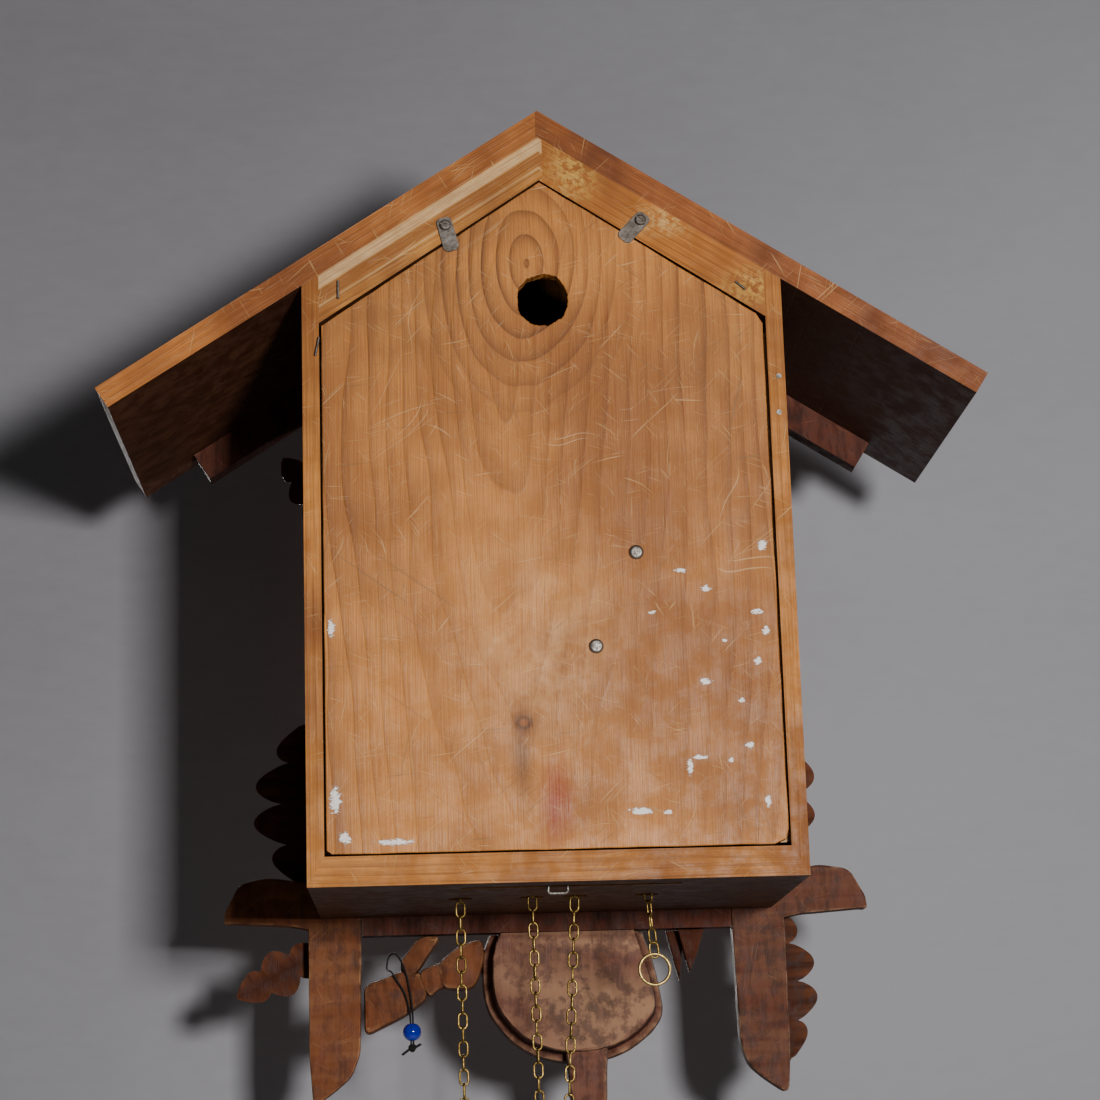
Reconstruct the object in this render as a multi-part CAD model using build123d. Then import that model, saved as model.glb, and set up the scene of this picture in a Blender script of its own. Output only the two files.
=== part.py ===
from build123d import *
import math
import os

# Millimetres. +X right as seen from the dial side, +Y toward the wall, +Z up.
# The origin is the centre of the hanging hole on the back of the case.

# ---- driving dimensions ----
case_half = 100.0
case_bottom = -242.0
case_front = -132.0
board = 7.0
bottom_thick = 12.0
front_thick = 10.0

ridge_top = 84.0
roof_slope = math.radians(32.75)
roof_length = 220.0
roof_thick = 10.0
roof_front = -150.0
roof_seam = 0.9

panel_thick = 6.0
panel_half = 92.4
panel_bottom = -229.5
panel_shoulder = -8.8
panel_apex = 52.3
panel_gap = 0.5
hole_r = 10.5

rail_thick = 10.0
rail_seam = -1.6

frame_back = -132.0
frame_front = -142.0
stile_in = 82.0
stile_out = 106.0

door_half = 20.0
door_sill = -46.0
door_spring = -12.0
door_gap = 0.8
door_axis = (-20.0, -134.0)
horn_back = -134.0

dial_z = -152.0
dial_r = 50.0

plate_front = (-83.5, -82.0)
plate_back = (-37.5, -36.0)
arbor_r = 1.5
screw_r = 1.2
pivot_gap = 0.05

chain_y = -60.0
chain_d = 4.4
sprocket_x = 24.0
sprocket_z = -190.0
sprocket_r = 15.0

centre = (0.0, dial_z)
third = (12.0, -119.9)
escape = (0.0, -93.0)
anchor = (0.0, -68.0)
minute_arbor = (18.6, -133.4)
strike_second = (-33.0, -150.0)
fly_arbor = (-36.0, -125.4)
hammer_arbor = (-44.0, -70.0)
gong = (-26.0, -128.0)

os.makedirs("parts", exist_ok=True)
tan_roof = math.tan(roof_slope)
roof_drop = roof_thick / math.cos(roof_slope)


# ---- helpers ----
def front_plane(y):
    """A plane whose local x and y are the object's X and Z, extruding toward -Y."""
    return Plane(origin=(0, y, 0), x_dir=(1, 0, 0), z_dir=(0, -1, 0))


def slab(points, y_low, y_high):
    """A polygon in X and Z with its thickness between two depths."""
    face = make_face(Polyline(*points, close=True))
    return forward(face, y_low, y_high)


def forward(face, y_low, y_high):
    """A face drawn in X and Z, given thickness between two depths."""
    return extrude(front_plane(y_high) * face, y_high - y_low, dir=(0, -1, 0))


def disc(x, z, r, y_low, y_high):
    return forward(Pos(x, z) * Circle(r), y_low, y_high)


def box(x0, x1, y0, y1, z0, z1):
    centre_point = ((x0 + x1) / 2, (y0 + y1) / 2, (z0 + z1) / 2)
    return Pos(*centre_point) * Box(x1 - x0, y1 - y0, z1 - z0)


def upright(x, y, r, z0, z1):
    return Pos(x, y, (z0 + z1) / 2) * Cylinder(r, z1 - z0)


def tube(points, r, smooth=False):
    """A round wire along a route of points."""
    path = Spline(*points) if smooth else Polyline(*points)
    start = Plane(origin=path @ 0, z_dir=path % 0)
    return sweep(start * Circle(r), path=path, transition=Transition.ROUND)


def mirrored(points):
    return [(-x, z) for x, z in points]


def under_roof(x):
    return ridge_top - roof_drop - abs(x) * tan_roof


def over_roof(x):
    return ridge_top - abs(x) * tan_roof


def save(shape, name):
    shape.label = name
    export_step(shape, f"parts/{name}.step")


# ---- the case ----
def side_boards():
    points = [
        (case_half, case_bottom),
        (case_half, under_roof(case_half)),
        (case_half - board, under_roof(case_half - board)),
        (case_half - board, case_bottom + bottom_thick),
    ]
    right = slab(points, case_front + front_thick, 0)
    left = mirror(right, Plane.YZ)
    for x, z in side_nails:
        left -= disc(x, z, 0.8, -15, 0)
    return right + left


side_nails = [(-97.3, -35.0), (-96.7, -50.5)]
bent_wires = [(84.8, 9.5, 0.0, 8.0), (-81.0, 6.5, -4.0, 3.5), (93.0, -15.0, 1.5, 8.0)]


def bottom_board():
    points = [
        (-case_half, case_bottom),
        (case_half, case_bottom),
        (case_half - board, case_bottom + bottom_thick),
        (board - case_half, case_bottom + bottom_thick),
    ]
    body = slab(points, case_front + front_thick, 0)
    for x in (-39, -9, 9, 39):
        body -= upright(x, chain_y, 5.0, case_bottom - 1, case_bottom + bottom_thick + 1)
    slot_z = (case_bottom - 1, case_bottom + bottom_thick + 1)
    return body - box(-50, 39, -20.5, -15.5, *slot_z)


def door_outline(gap):
    """The arched door or its opening, drawn in from the opening by a gap."""
    half = door_half - gap
    lower = Pos(0, (door_sill + gap + door_spring) / 2) * Rectangle(
        2 * half, door_spring - door_sill - gap
    )
    return lower + Pos(0, door_spring) * Circle(half)


def front_board():
    points = [
        (-case_half, case_bottom),
        (case_half, case_bottom),
        (case_half, under_roof(case_half)),
        (0, under_roof(0)),
        (-case_half, under_roof(case_half)),
    ]
    body = slab(points, case_front, case_front + front_thick)
    inner = case_front + front_thick
    body -= forward(door_outline(0), case_front, inner)
    for z in (-41, -13):
        body -= disc(door_axis[0] - 3, z, 0.8, case_front, -128)
    return body - disc(*centre, 5.5, case_front, inner)


def gable_half(sign, seam, top, low, end):
    """Half of a gable shape, whose joint with the other half is a little off centre."""
    joint = sign * seam
    points = [(joint, top(joint)), *end, (joint, low(joint))]
    if joint < 0:
        points = [(joint, top(joint)), (0, top(0)), *end, (0, low(0)), (joint, low(joint))]
    return [(sign * a, z) for a, z in points]


def roof_board(sign):
    run = math.cos(roof_slope) * roof_length
    drop = math.sin(roof_slope) * roof_length
    inset = math.sin(roof_slope) * roof_thick
    rise = math.cos(roof_slope) * roof_thick
    end = [(run, ridge_top - drop), (run - inset, ridge_top - drop - rise)]
    points = gable_half(sign, roof_seam, over_roof, under_roof, end)
    return slab(points, roof_front, 0)


def gable_rail(sign):
    """The strip under the roof that the turn buttons hold the panel against."""
    half = case_half - board
    slope = (panel_apex - panel_shoulder) / panel_half

    def low(x):
        return panel_apex + panel_gap - abs(x) * slope

    end = [(half, under_roof(half)), (half, low(half))]
    body = slab(gable_half(sign, rail_seam, under_roof, low, end), -rail_thick, 0)
    x, z = turn_buttons["right" if sign > 0 else "left"]["screw"]
    return body - disc(x, z, screw_r, -8, 0)


turn_buttons = {
    "right": dict(screw=(39.8, 32.9), toward=(-2.7, -10.7)),
    "left": dict(screw=(-42.1, 33.9), toward=(7.8, -8.3)),
}
rivets = [(-35.2, -108.8), (-17.6, -147.5)]


def back_panel():
    points = [
        (-panel_half, panel_bottom),
        (panel_half, panel_bottom),
        (panel_half, panel_shoulder),
        (0, panel_apex),
        (-panel_half, panel_shoulder),
    ]
    body = slab(points, -panel_thick, 0)
    body -= disc(0, 0, hole_r, -panel_thick, 0)
    for x, z in rivets:
        body -= disc(x, z, 1.2, -panel_thick, 0)
    return body


def inner_battens():
    """Battens behind the panel, blocks behind the movement and the bird's shelf."""
    stop = box(84, case_half - board, -16, -panel_thick, -228, -14)
    block = box(40, 52, case_front + front_thick, plate_front[0], -200, -76)
    pair = stop + block
    body = pair + mirror(pair, Plane.YZ)
    for x, z in mount_places:
        body -= disc(x, z, screw_r, -98, plate_front[0])
    return body + box(-26, 26, case_front + front_thick, -66, -50, door_sill)


def turn_button(side):
    """A flat steel strip with round ends, turning on its screw."""
    x, z = turn_buttons[side]["screw"]
    dx, dz = turn_buttons[side]["toward"]
    angle = math.degrees(math.atan2(dz, dx))
    blade = Pos(4.0, 0) * RectangleRounded(15.0, 6.5, 2.2)
    outline = Pos(x, z) * (Rot(0, 0, angle) * blade)
    body = forward(outline, 0.05, 1.05)
    return body - disc(x, z, screw_r + pivot_gap, 0, 1.1)


def wood_screw(x, z, seat, slot_angle):
    """A slotted dome-head screw, its head standing on a seat at the given depth."""
    head = disc(x, z, 2.35, seat, seat + 1.5)
    head = fillet(head.edges().filter_by(GeomType.CIRCLE).sort_by(Axis.Y)[-1:], 0.9)
    slot = Pos(x, z) * (Rot(0, 0, slot_angle) * Rectangle(6, 0.8))
    head -= forward(slot, seat + 0.8, seat + 1.6)
    return head + disc(x, z, screw_r, seat - 9.1, seat)


def wood_screws():
    """Two screws for the turn buttons and four for the movement, all alike."""
    body = Part()
    for side, slot_angle in (("left", 40), ("right", 15)):
        body += wood_screw(*turn_buttons[side]["screw"], 1.1, slot_angle)
    for x, z in mount_places:
        body += wood_screw(x, z, plate_front[1], 25)
    return body


def gong_rivets():
    """Domed heads on the panel whose shanks hold the gong's block."""
    body = Part()
    for x, z in rivets:
        head = disc(x, z, 3.0, 0, 1.6)
        head = fillet(head.edges().filter_by(GeomType.CIRCLE).sort_by(Axis.Y)[-1:], 1.3)
        body += head + disc(x, z, 1.2, -8.8, 0)
    return body


def small_nails():
    """Two nails in the side board and three small wires bent over the panel's edge."""
    body = Part()
    for x, z in side_nails:
        body += disc(x, z, 0.8, -15, 0) + disc(x, z, 1.1, 0, 0.4)
    for x, z, lean, length in bent_wires:
        body += tube([(x, 0.6, z), (x + lean, 0.9, z - length)], 0.5)
    return body


# ---- the carved front ----
def frame_stile(sign):
    """One side of the carved frame, with its arm and its hanging leg."""
    top = under_roof(stile_out) - 16.5
    outline = [
        (stile_in, under_roof(stile_in) - 16.5),
        (stile_in, case_bottom - 8),
        (84.0, case_bottom - 60),
        (87.6, case_bottom - 69),
        (93.8, case_bottom - 74.6),
        (104.5, case_bottom - 82),
        (stile_out, case_bottom - 61),
        (stile_out, case_bottom - 4.9),
        (113.0, case_bottom - 3.0),
        (140.0, case_bottom - 1.0),
        (143.5, case_bottom - 1.5),
        (143.0, case_bottom + 4),
        (141.0, case_bottom + 7.5),
        (136.4, case_bottom + 16.5),
        (123.0, case_bottom + 18.7),
        (stile_out, case_bottom + 16),
        (stile_out, top),
    ]
    return slab([(sign * x, z) for x, z in outline], frame_front, frame_back)


def frame_bars():
    """The boards under the roof's front edge, ending square past the case."""
    gap = 0.3
    points = [
        (0, under_roof(0) - gap),
        (156.0, under_roof(156) - gap),
        (148.7, under_roof(156) - gap - 11.4),
        (stile_out, under_roof(stile_out) - 16.5),
        (0, under_roof(0) - 16.5),
    ]
    return slab(points, frame_front, frame_back) + slab(
        mirrored(points), frame_front, frame_back
    )


def frame_rail():
    low, high = case_bottom - 8, case_bottom + 10
    return box(-stile_in, stile_in, frame_front, frame_back, low, high)


def oak_leaf(base, tip, half_width, lobes=4):
    """The outline of a lobed leaf from its stalk to its tip."""
    length = math.dist(base, tip)
    ux, uz = (tip[0] - base[0]) / length, (tip[1] - base[1]) / length
    steps = 6 * lobes
    edge = []
    for i in range(steps + 1):
        t = i / steps
        swell = math.sin(math.pi * min(1.0, 0.08 + 0.92 * t)) ** 0.6
        wave = 0.84 - 0.16 * math.cos(2 * math.pi * lobes * t)
        edge.append((t * length, half_width * swell * wave + 0.6))
    points = [(base[0] + ux * a - uz * b, base[1] + uz * a + ux * b) for a, b in edge]
    back = [(base[0] + ux * a + uz * b, base[1] + uz * a - ux * b) for a, b in edge]
    return points + back[::-1]


leaves = {
    "left": [
        ((-100, -232), (-107, -150), 21.5),
        ((-99, -238), (-106, -309), 18.5),
        ((-92, -152), (-90, -76), 14.5),
        ((-86, -66), (-116, -28), 11.0),
        ((-84, -214), (-58, -228), 9.0),
    ],
    "right": [
        ((104, -230), (105, -152), 27.0),
        ((98, -254), (138, -275), 11.0),
        ((92, -152), (90, -76), 14.5),
        ((86, -66), (116, -28), 11.0),
        ((84, -214), (58, -228), 9.0),
    ],
}


def oak_leaves(side):
    body = leaf_points() if side == "left" else Part()
    for base, tip, width in leaves[side]:
        body += slab(oak_leaf(base, tip, width), -150, frame_front)
    return body


def crown_leaves():
    """A low spray of leaves standing in front of the ridge."""
    body = slab(oak_leaf((0, 44), (0, 128), 19), -159, roof_front)
    for sign in (-1, 1):
        body += slab(oak_leaf((sign * 4, 58), (sign * 58, 84), 14), -159, roof_front)
    return body


bag_outline = [
    (21.0, -250.2),
    (24.4, -262.0),
    (22.5, -282.0),
    (9.0, -297.4),
    (-10.6, -302.7),
    (-30.5, -299.3),
    (-45.5, -287.0),
    (-44.7, -272.0),
    (-38.5, -250.2),
]


def grown(point, middle, by):
    """A point moved straight away from a middle."""
    dx, dz = point[0] - middle[0], point[1] - middle[1]
    reach = math.hypot(dx, dz)
    return (point[0] + dx / reach * by, point[1] + dz / reach * by)


def hunting_bag():
    """A bag with a flat back and a fuller, rounded front, and the tassel under it."""
    curve = Spline(*bag_outline)
    rounded = [curve @ (i / 24) for i in range(25)]
    rounded = [(p.X, p.Y) for p in rounded]
    middle = (-10.3, -275.0)
    fuller = [grown(p, middle, 5.0) for p in rounded]
    thinner = [grown(p, middle, 1.0) for p in rounded]
    body = slab(rounded, frame_front - 0.2, frame_back)
    body += slab(fuller, -152, frame_front - 0.2) + slab(thinner, -156, -152)
    tassel = [
        (-6.2, -300.0),
        (-25.6, -300.0),
        (-24.4, -324.0),
        (-20.5, -348.0),
        (-12.5, -348.0),
        (-8.3, -324.0),
    ]
    return body + slab(tassel, -152, -134)


def leaf_points():
    """Two pointed leaf tips under the rail."""
    first = [(-53.4, -250.2), (-62.0, -250.2), (-60.0, -262.0), (-58.7, -273.0)]
    second = [(-58.0, -250.2), (-70.0, -250.2), (-66.8, -260.0), (-62.8, -270.0)]
    return slab(first, -148, -141) + slab(second, -141, -134)


def hunting_horn(bag):
    """A curved horn from behind the leg to the bag, with a twig above it."""
    points = [
        (81.8, -271.0),
        (71.3, -267.7),
        (65.5, -265.2),
        (65.5, -260.4),
        (56.5, -250.2),
        (46.5, -250.2),
        (57.1, -265.0),
        (49.6, -262.6),
        (40.6, -255.4),
        (29.0, -251.7),
        (27.4, -259.7),
        (30.8, -270.5),
        (34.4, -274.4),
        (48.5, -274.0),
        (52.5, -277.8),
        (62.8, -284.9),
        (81.8, -293.6),
    ]
    return slab(points, -150, horn_back) - bag


# ---- dial and hands ----
def dial():
    body = disc(*centre, dial_r, -139, case_front)
    body += disc(*centre, 14, -140, -139)
    return body - disc(*centre, 5.5, -141, case_front)


def numerals():
    """Twelve plain chapter marks, later drawn as numerals."""
    body = Part()
    for hour in range(12):
        turn = math.radians(30 * hour)
        x, z = 39 * math.sin(turn), dial_z + 39 * math.cos(turn)
        mark = Pos(x, z) * (Rot(0, 0, -30 * hour) * Rectangle(8.5, 13.5))
        body += forward(mark, -140, -139)
    return body


def hand(reach, width, bore, y_low, y_high):
    """A pierced leaf-shaped hand pointing straight up."""
    x, z = centre
    points = [
        (-width * 0.35, -6),
        (width * 0.35, -6),
        (width * 0.2, reach * 0.35),
        (width * 0.5, reach * 0.62),
        (width * 0.42, reach * 0.72),
        (0, reach),
        (-width * 0.42, reach * 0.72),
        (-width * 0.5, reach * 0.62),
        (-width * 0.2, reach * 0.35),
    ]
    body = slab([(x + a, z + b) for a, b in points], y_low, y_high)
    body += disc(x, z, bore + 3.5, y_low, y_high)
    return body - disc(x, z, bore, y_low, y_high)


# ---- the movement ----
def toothed(x, z, r, teeth, y_low, y_high, depth=2.0):
    """A toothed disc; each tooth is a short trapezium."""
    points = []
    pitch = 2 * math.pi / teeth
    for i in range(teeth):
        for part, radius in ((0.0, r - depth), (0.3, r), (0.5, r), (0.8, r - depth)):
            turn = (i + part) * pitch
            points.append((x + radius * math.cos(turn), z + radius * math.sin(turn)))
    return slab(points, y_low, y_high)


def spoked(x, z, r, y_low, y_high, spokes=4):
    """The windows cut from a wheel to leave its spokes."""
    ring = Circle(r) - Circle(6.5)
    for i in range(spokes):
        bar = Rot(0, 0, 180 / spokes * i * 2) * (Pos(r / 2, 0) * Rectangle(r, 3.2))
        ring -= bar
    return forward(Pos(x, z) * ring, y_low, y_high)


def wheel(at, r, teeth, y_low, y_high, reach=(-84.3, -35.2)):
    """A spoked wheel fixed on its arbor."""
    x, z = at
    body = toothed(x, z, r, teeth, y_low, y_high)
    body -= spoked(x, z, r - 5.0, y_low, y_high)
    return body + disc(x, z, arbor_r, *reach)


def pinion(at, r, leaves_count, y_low, y_high):
    return toothed(*at, r, leaves_count, y_low, y_high, depth=min(1.6, r * 0.25))


def movement_plate(y_low, y_high):
    body = box(-52, 52, y_low, y_high, -218, -58)
    body += box(-62, 62, y_low, y_high, -218, -206)
    arbors = [
        (sprocket_x, sprocket_z),
        (-sprocket_x, sprocket_z),
        third,
        escape,
        anchor,
        strike_second,
        fly_arbor,
        hammer_arbor,
    ]
    for x, z in arbors:
        body -= disc(x, z, arbor_r + pivot_gap, y_low, y_high)
    body -= disc(*centre, 2.95 + pivot_gap, y_low, y_high)
    for x, z in pillar_places:
        body -= disc(x, z, 2.0, y_low, y_high)
    return body


pillar_places = [(-57, -213), (57, -213), (-24, -63), (46, -63)]
mount_places = [(-46, -170), (46, -170), (-46, -90), (46, -90)]


def front_plate():
    """The front plate, with the post for the minute wheel."""
    body = movement_plate(*plate_front)
    for x, z in mount_places:
        body -= disc(x, z, screw_r, *plate_front)
    return body + disc(*minute_arbor, 1.5, -100, plate_front[1])


def back_plate():
    """The back plate with its four pillars riveted in."""
    body = movement_plate(*plate_back)
    for x, z in pillar_places:
        body += disc(x, z, 3.2, plate_front[1], plate_back[0])
        body += disc(x, z, 2.0, plate_front[0] - 2, plate_back[1] + 1)
    return body


def sprocket(sign):
    """The chain wheel: a drum between two cheeks, fixed to its great wheel."""
    x = sign * sprocket_x
    drum = disc(x, sprocket_z, sprocket_r - 2.5, chain_y - 2.6, chain_y + 2.6)
    for y_low in (chain_y - 4.0, chain_y + 2.6):
        drum += disc(x, sprocket_z, 18.5, y_low, y_low + 1.4)
    return drum - disc(x, sprocket_z, arbor_r, chain_y - 5, chain_y + 5)


def centre_wheel():
    """Centre arbor with its wheel, pinion and the cannon pinion for the hands."""
    body = wheel(centre, 28.0, 56, -76, -73)
    body += pinion(centre, 10.4, 22, -71, -65)
    body += disc(*centre, 2.95, -149.0, -35.2)
    return body + pinion(centre, 6.2, 12, -93, -88)


def minute_wheel():
    x, z = minute_arbor
    body = toothed(x, z, 19.3, 36, -92, -89) - spoked(x, z, 14.5, -92, -89)
    body += pinion(minute_arbor, 5.0, 10, -99, -92)
    return body - disc(x, z, 1.5 + pivot_gap, -100, -88)


def hour_wheel():
    """Hour wheel and its pipe over the centre arbor."""
    body = toothed(*centre, 20.8, 40, -99, -96) - spoked(*centre, 16.0, -99, -96)
    body += disc(*centre, 4.6, -144.5, -95.5)
    return body - disc(*centre, 2.95 + pivot_gap, -150, -90)


def pallet_anchor():
    """Anchor over the escape wheel, with the wire that carries the pendulum."""
    ax, az = anchor
    ex, ez = escape
    body = disc(ax, az, arbor_r, -84.3, -16)
    arch = [(-16, ez + 9.0), (-13.6, ez + 13.6), (-5, az + 3), (5, az + 3)]
    arch += [(13.6, ez + 13.6), (16, ez + 9.0), (18.5, ez + 11.5), (9, az + 6)]
    arch += [(-9, az + 6), (-18.5, ez + 11.5)]
    body += slab(arch, -50, -47) + disc(ax, az, 4, -50, -47)
    return body + disc(ax, az, 3.0, -21, -16)


def pendulum_wire():
    """The leader hanging through the slot and ending in an open loop."""
    low = case_bottom - 3.5
    y = -18.0
    top = anchor[1] - 3.05
    route = [(0, y, top), (0, y, low + 14), (3.0, y, low + 11), (4.0, y, low + 1.2)]
    route += [(3.0, y, low + 0.6), (-3.0, y, low + 0.6), (-4.0, y, low + 1.2)]
    route += [(-4.0, y, low + 7)]
    return tube(route, 0.6)


def strike_second_wheel():
    body = wheel(strike_second, 20.0, 44, -68, -65)
    return body + pinion(strike_second, 6.6, 14, -56, -49)


def fly():
    """The air brake: a thin vane on its arbor."""
    x, z = fly_arbor
    body = disc(x, z, arbor_r, -84.3, -35.2)
    body += box(x - 13, x + 13, -62, -48, z - 0.6, z + 0.6)
    return body + pinion(fly_arbor, 4.2, 8, -69, -64)


def hammer():
    x, z = hammer_arbor
    body = disc(x, z, arbor_r, -84.3, -23)
    head = (-55.0, -99.0)
    arm = [(x - 3, z), (head[0] - 2, head[1]), (head[0] + 2, head[1]), (x + 3, z)]
    body += slab(arm, -26, -24) + disc(x, z, 4, -27, -23)
    return body + disc(*head, 4.0, -26, -8)


def gong_block():
    """A cast block behind both rivets, with the post that holds the gong."""
    turn = math.degrees(math.atan2(rivets[1][1] - rivets[0][1], rivets[1][0] - rivets[0][0]))
    strip = Pos(*gong) * (Rot(0, 0, turn) * RectangleRounded(54, 11, 5))
    body = forward(strip, -panel_thick - 3, -panel_thick)
    body += disc(*gong, 5, -16, -9)
    for x, z in rivets:
        body -= disc(x, z, 1.2, -17, -6)
    return body


def gong_coil():
    """A spiral of round steel wire."""
    turns = 4.25
    count = int(turns * 12)
    points = []
    for i in range(count + 1):
        share = i / count
        angle = 2 * math.pi * turns * share
        r = 4.2 + 29.0 * share
        points.append((gong[0] + r * math.cos(angle), -12.0, gong[1] + r * math.sin(angle)))
    return tube(points, 0.8, smooth=True) - disc(*gong, 5, -16, -9)


# ---- bellows, bird and door ----
def bellows_boxes():
    """Two wooden whistle boxes with their mouths on the inner side."""
    body = box(62, 88, -118, -88, -120, -32) - box(65, 85, -115, -91, -117, -35)
    body -= box(60, 66, -112, -94, -56, -50)
    body += box(65, 85, -115, -91, -62, -60)
    return body + mirror(body, Plane.YZ)


def bellows_cloth():
    body = box(63, 87, -117, -86, -32, -26.1)
    return body + mirror(body, Plane.YZ)


def bellows_lid(sign):
    """The lid and its lift wire, turning up about the front edge."""
    body = box(62, 88, -118, -82, -26.0, -22.0)
    body += box(66, 84, -110, -90, -22.0, -18.0)
    wire = tube([(75, -84, -23), (75, -80, -23), (75, -80, -108), (71, -80, -108)], 0.7)
    body += wire
    return body if sign > 0 else mirror(body, Plane.YZ)


def cuckoo():
    """The bird on its sliding carriage."""
    body = box(-6, 6, -112, -74, door_sill + 0.1, door_sill + 3.5)
    body += upright(0, -98, 3, door_sill + 3, -34)
    outline = Spline((0, 18), (6.5, 12), (8.5, 0), (6, -12), (2.5, -21))
    face = make_face(outline + Polyline((2.5, -21), (0, -21), (0, 18)))
    torso = revolve(Plane.XY * face, Axis.Y, 360)
    body += Pos(0, -96, -28) * (Rot(180 + 12, 0, 0) * torso)
    body += Pos(0, -113, -19) * Sphere(6.5)
    beak = Pos(0, -120.5, -19.5) * (Rot(90, 0, 0) * Cone(2.4, 0.4, 6.5))
    return body + beak + box(-5, 5, -84, -62, -37, -33)


def cuckoo_door():
    """The arched door with its knuckles on the pin."""
    body = forward(door_outline(door_gap), case_front, case_front + 4)
    x, y = door_axis
    for z in (-38, -22):
        body += upright(x, y, 1.8, z, z + 6)
        body += box(x, x + 5, y - 1, y + 2, z, z + 6)
        body -= upright(x, y, 0.8 + pivot_gap, z - 1, z + 7)
    return body


def door_pin():
    """A bent wire in the front board that the door turns on."""
    x, y = door_axis
    route = [(x - 3, -128, -41), (x - 3, y, -41), (x, y, -41)]
    route += [(x, y, -13), (x - 3, y, -13), (x - 3, -128, -13)]
    return tube(route, 0.8)


# ---- chains, hooks, rings and the bead ----
chain_routes = {
    "going": dict(sign=1, foot_a=(39, -338), foot_b=(8.2, -336)),
    "strike": dict(sign=-1, foot_a=(-3.2, -338), foot_b=(-41.2, -265.2)),
}


def chain(name):
    """One chain from its hook up, over its sprocket and down to its ring."""
    route = chain_routes[name]
    middle = route["sign"] * sprocket_x
    first = middle + sprocket_r
    second = middle - sprocket_r
    up = Line(
        (route["foot_a"][0], chain_y, route["foot_a"][1]), (first, chain_y, case_bottom + 2)
    )
    rise = Line((first, chain_y, case_bottom + 2), (first, chain_y, sprocket_z))
    arc = ThreePointArc(
        (first, chain_y, sprocket_z),
        (middle, chain_y, sprocket_z + sprocket_r),
        (second, chain_y, sprocket_z),
    )
    fall = Line((second, chain_y, sprocket_z), (second, chain_y, case_bottom + 2))
    down = Line(
        (second, chain_y, case_bottom + 2), (route["foot_b"][0], chain_y, route["foot_b"][1])
    )
    path = Wire([up, rise, arc, fall, down])
    start = Plane(origin=path @ 0, z_dir=path % 0)
    return sweep(start * Circle(chain_d / 2), path=path, transition=Transition.RIGHT)


def weight_hook(x, z):
    """An open wire hook under the last link, for a weight."""
    route = [(0, -1.6), (0, -7), (4.2, -9.5), (5.2, -14)]
    route += [(2.6, -18.2), (-2.0, -18.6), (-4.8, -15)]
    return tube([(x, chain_y + a, z + b) for a, b in route], 1.0, smooth=True)


def pull_ring(x, z):
    """A brass ring hanging from the last link."""
    return Pos(x, chain_y, z - 1.0 - 7.0) * (Rot(90, 0, 0) * Torus(6.35, 0.65))


bead_at = (60.7, -131.0, -292.5)


def bead():
    x, y, z = bead_at
    return Pos(*bead_at) * Sphere(4.0) - upright(x, y, 1.7, z - 5, z + 5)


def cord_path(points):
    """Straight runs joined by tangent arcs as large as the shorter run allows."""
    places = [Vector(*point) for point in points]
    radii = []
    for before, here, after in zip(places, places[1:], places[2:]):
        arriving, leaving = here - before, after - here
        half_turn = math.radians(arriving.get_angle(leaving)) / 2
        radii.append(0.45 * min(arriving.length, leaving.length) / math.tan(half_turn))
    print("cord radii", [round(radius, 1) for radius in radii])
    return FilletPolyline(*places, radius=radii)


def bead_cord():
    """A loop over the horn, both strands through the bead to a knot."""
    x, y, z = bead_at
    behind = horn_back + 1.0
    route = [
        (x - 0.5, y, z - 5.8),
        (x - 0.5, y, z + 4.5),
        (x - 0.2, behind, z + 11.5),
        (62.3, behind - 0.1, -269.0),
        (64.4, behind + 0.1, -262.5),
        (66.6, behind - 0.4, -258.6),
        (69.0, -138.5, -257.2),
        (70.9, -144.0, -258.8),
        (71.8, -144.6, -263.2),
        (71.0, -139.0, -265.0),
        (69.6, behind - 0.1, -265.4),
        (66.9, behind + 0.1, -270.0),
        (63.4, behind, -275.5),
        (x + 1.0, behind + 0.1, z + 9.5),
        (x + 0.5, y, z + 4.2),
        (x + 0.5, y, z - 5.8),
    ]
    path = cord_path(route)
    start = Plane(origin=path @ 0, z_dir=path % 0)
    strands = sweep(start * Circle(0.4), path=path)
    knot = Pos(x, y, z - 7.55) * Sphere(1.7)
    return Compound([strands.solid(), knot.solid()])


def weight_hooks():
    """The two open hooks that the weights would hang on."""
    body = Part()
    for route in chain_routes.values():
        x, z = route["foot_a"]
        body += weight_hook(x, z)
    return body


# ---- write every part ----
great_at = (sprocket_x, sprocket_z)
strike_at = (-sprocket_x, sprocket_z)
bag = hunting_bag()

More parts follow.
